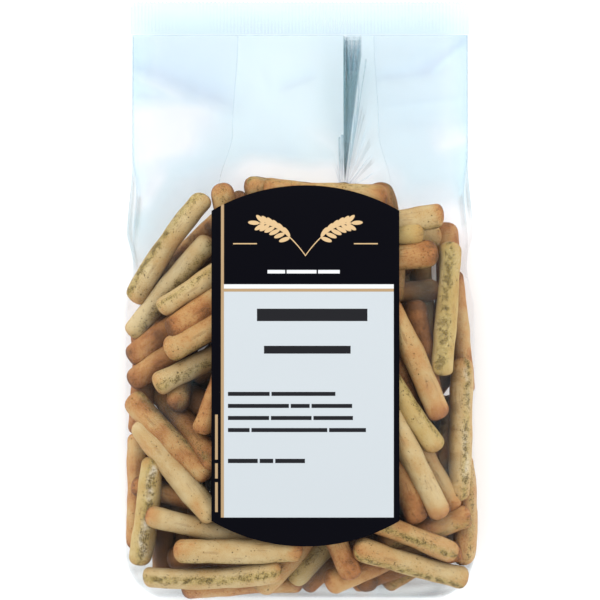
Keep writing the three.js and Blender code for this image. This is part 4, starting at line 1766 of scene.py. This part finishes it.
@dataclass
class Studio:
    """The pale floor, the soft lights and the camera straight above."""

    frame_side: float = 222.6 * MM
    camera_height: float = 5.0
    subject_height: float = 12.0 * MM
    sensor: float = 36.0
    floor_side: float = 6.0
    ceiling_light: float = 0.6
    wall_light: float = 1.4

    def build(self) -> None:
        """Makes the floor, the lights and the camera."""
        self._floor()
        self._room()
        self._softbox("key_light", (-0.9, 1.1, 1.25), 1.3, 15.0).visible_glossy = False
        self._softbox("fill_light", (1.3, -0.3, 1.1), 1.3, 10.0)
        self._camera()

    def _floor(self) -> None:
        """Lays the floor just under the bag."""
        floor = added("floor", bpy.ops.mesh.primitive_plane_add,
                      size=self.floor_side, location=(0.0, 0.0, -0.05 * MM))
        floor.data.materials.append(FloorFinish().material())

    def _room(self) -> None:
        """Surrounds the bag with a pale room: dim overhead, bright at the sides."""
        g = Graph("studio_room", room=True)
        x, y, z = g.node("SeparateXYZ", {}, {"Vector": g.node("TexCoord")[0]})
        toward_window = (x * -0.6 + y * 0.8).rise(-0.6, 0.9)
        walls = self.wall_light * (0.85 + 0.3 * toward_window)
        light = self.ceiling_light + z.rise(0.93, 0.6) * (walls - self.ceiling_light)
        room = g.node("Background", {}, {"Color": (0.97, 0.99, 1.0, 1.0), "Strength": light})[0]
        bpy.context.scene.world = g.finish(room)

    @staticmethod
    def _softbox(
        name: str, place: tuple[float, float, float], side: float, power: float
    ) -> bpy.types.Object:
        """Hangs a square area light that faces the bag.

        Args:
            name: The light's name.
            place: Where it hangs.
            side: Its side length.
            power: In watts.

        Returns:
            The light.
        """
        light = bpy.data.lights.new(name, "AREA")
        light.size = side
        light.energy = power
        lamp = bpy.data.objects.new(name, light)
        lamp.location = place
        lamp.rotation_euler = (-Vector(place)).to_track_quat("-Z", "Y").to_euler()
        bpy.context.collection.objects.link(lamp)
        return lamp

    def _camera(self) -> None:
        """Hangs the camera straight above the bag, with the seal at the picture's top."""
        data = bpy.data.cameras.new("camera")
        data.sensor_width = self.sensor
        data.lens = self.sensor * (self.camera_height - self.subject_height) / self.frame_side
        camera = bpy.data.objects.new("camera", data)
        camera.location = (0.0, 0.0, self.camera_height)
        bpy.context.collection.objects.link(camera)
        scene = bpy.context.scene
        scene.camera = camera
        scene.view_settings.view_transform = "Standard"
        scene.cycles.transparent_max_bounces = 24


# ---- The bag ------------------------------------------------------------------------


def main() -> None:
    """Builds the bag and the studio round it."""
    logging.basicConfig(level=logging.INFO, format="%(message)s", stream=sys.stdout)
    form = BagForm(*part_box("bag"))
    outline = LabelForm(*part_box("label"))
    film = Film(form, outline)

    wall = film.blank("heap_wall")
    inside = BVHTree.FromObject(wall, bpy.context.evaluated_depsgraph_get())
    bpy.data.objects.remove(wall)
    heap = Heap()
    heap.settle(inside)
    LOG.info("deepest overlap of two sticks: %.2f mm", heap.worst_overlap() / MM)

    sticks = Breadsticks(heap, form, inside).build()
    film.build(sticks)
    CrimpedSeal(form).build()
    Label(form, outline).build()
    Studio().build()


if __name__ == "__main__":
    main()
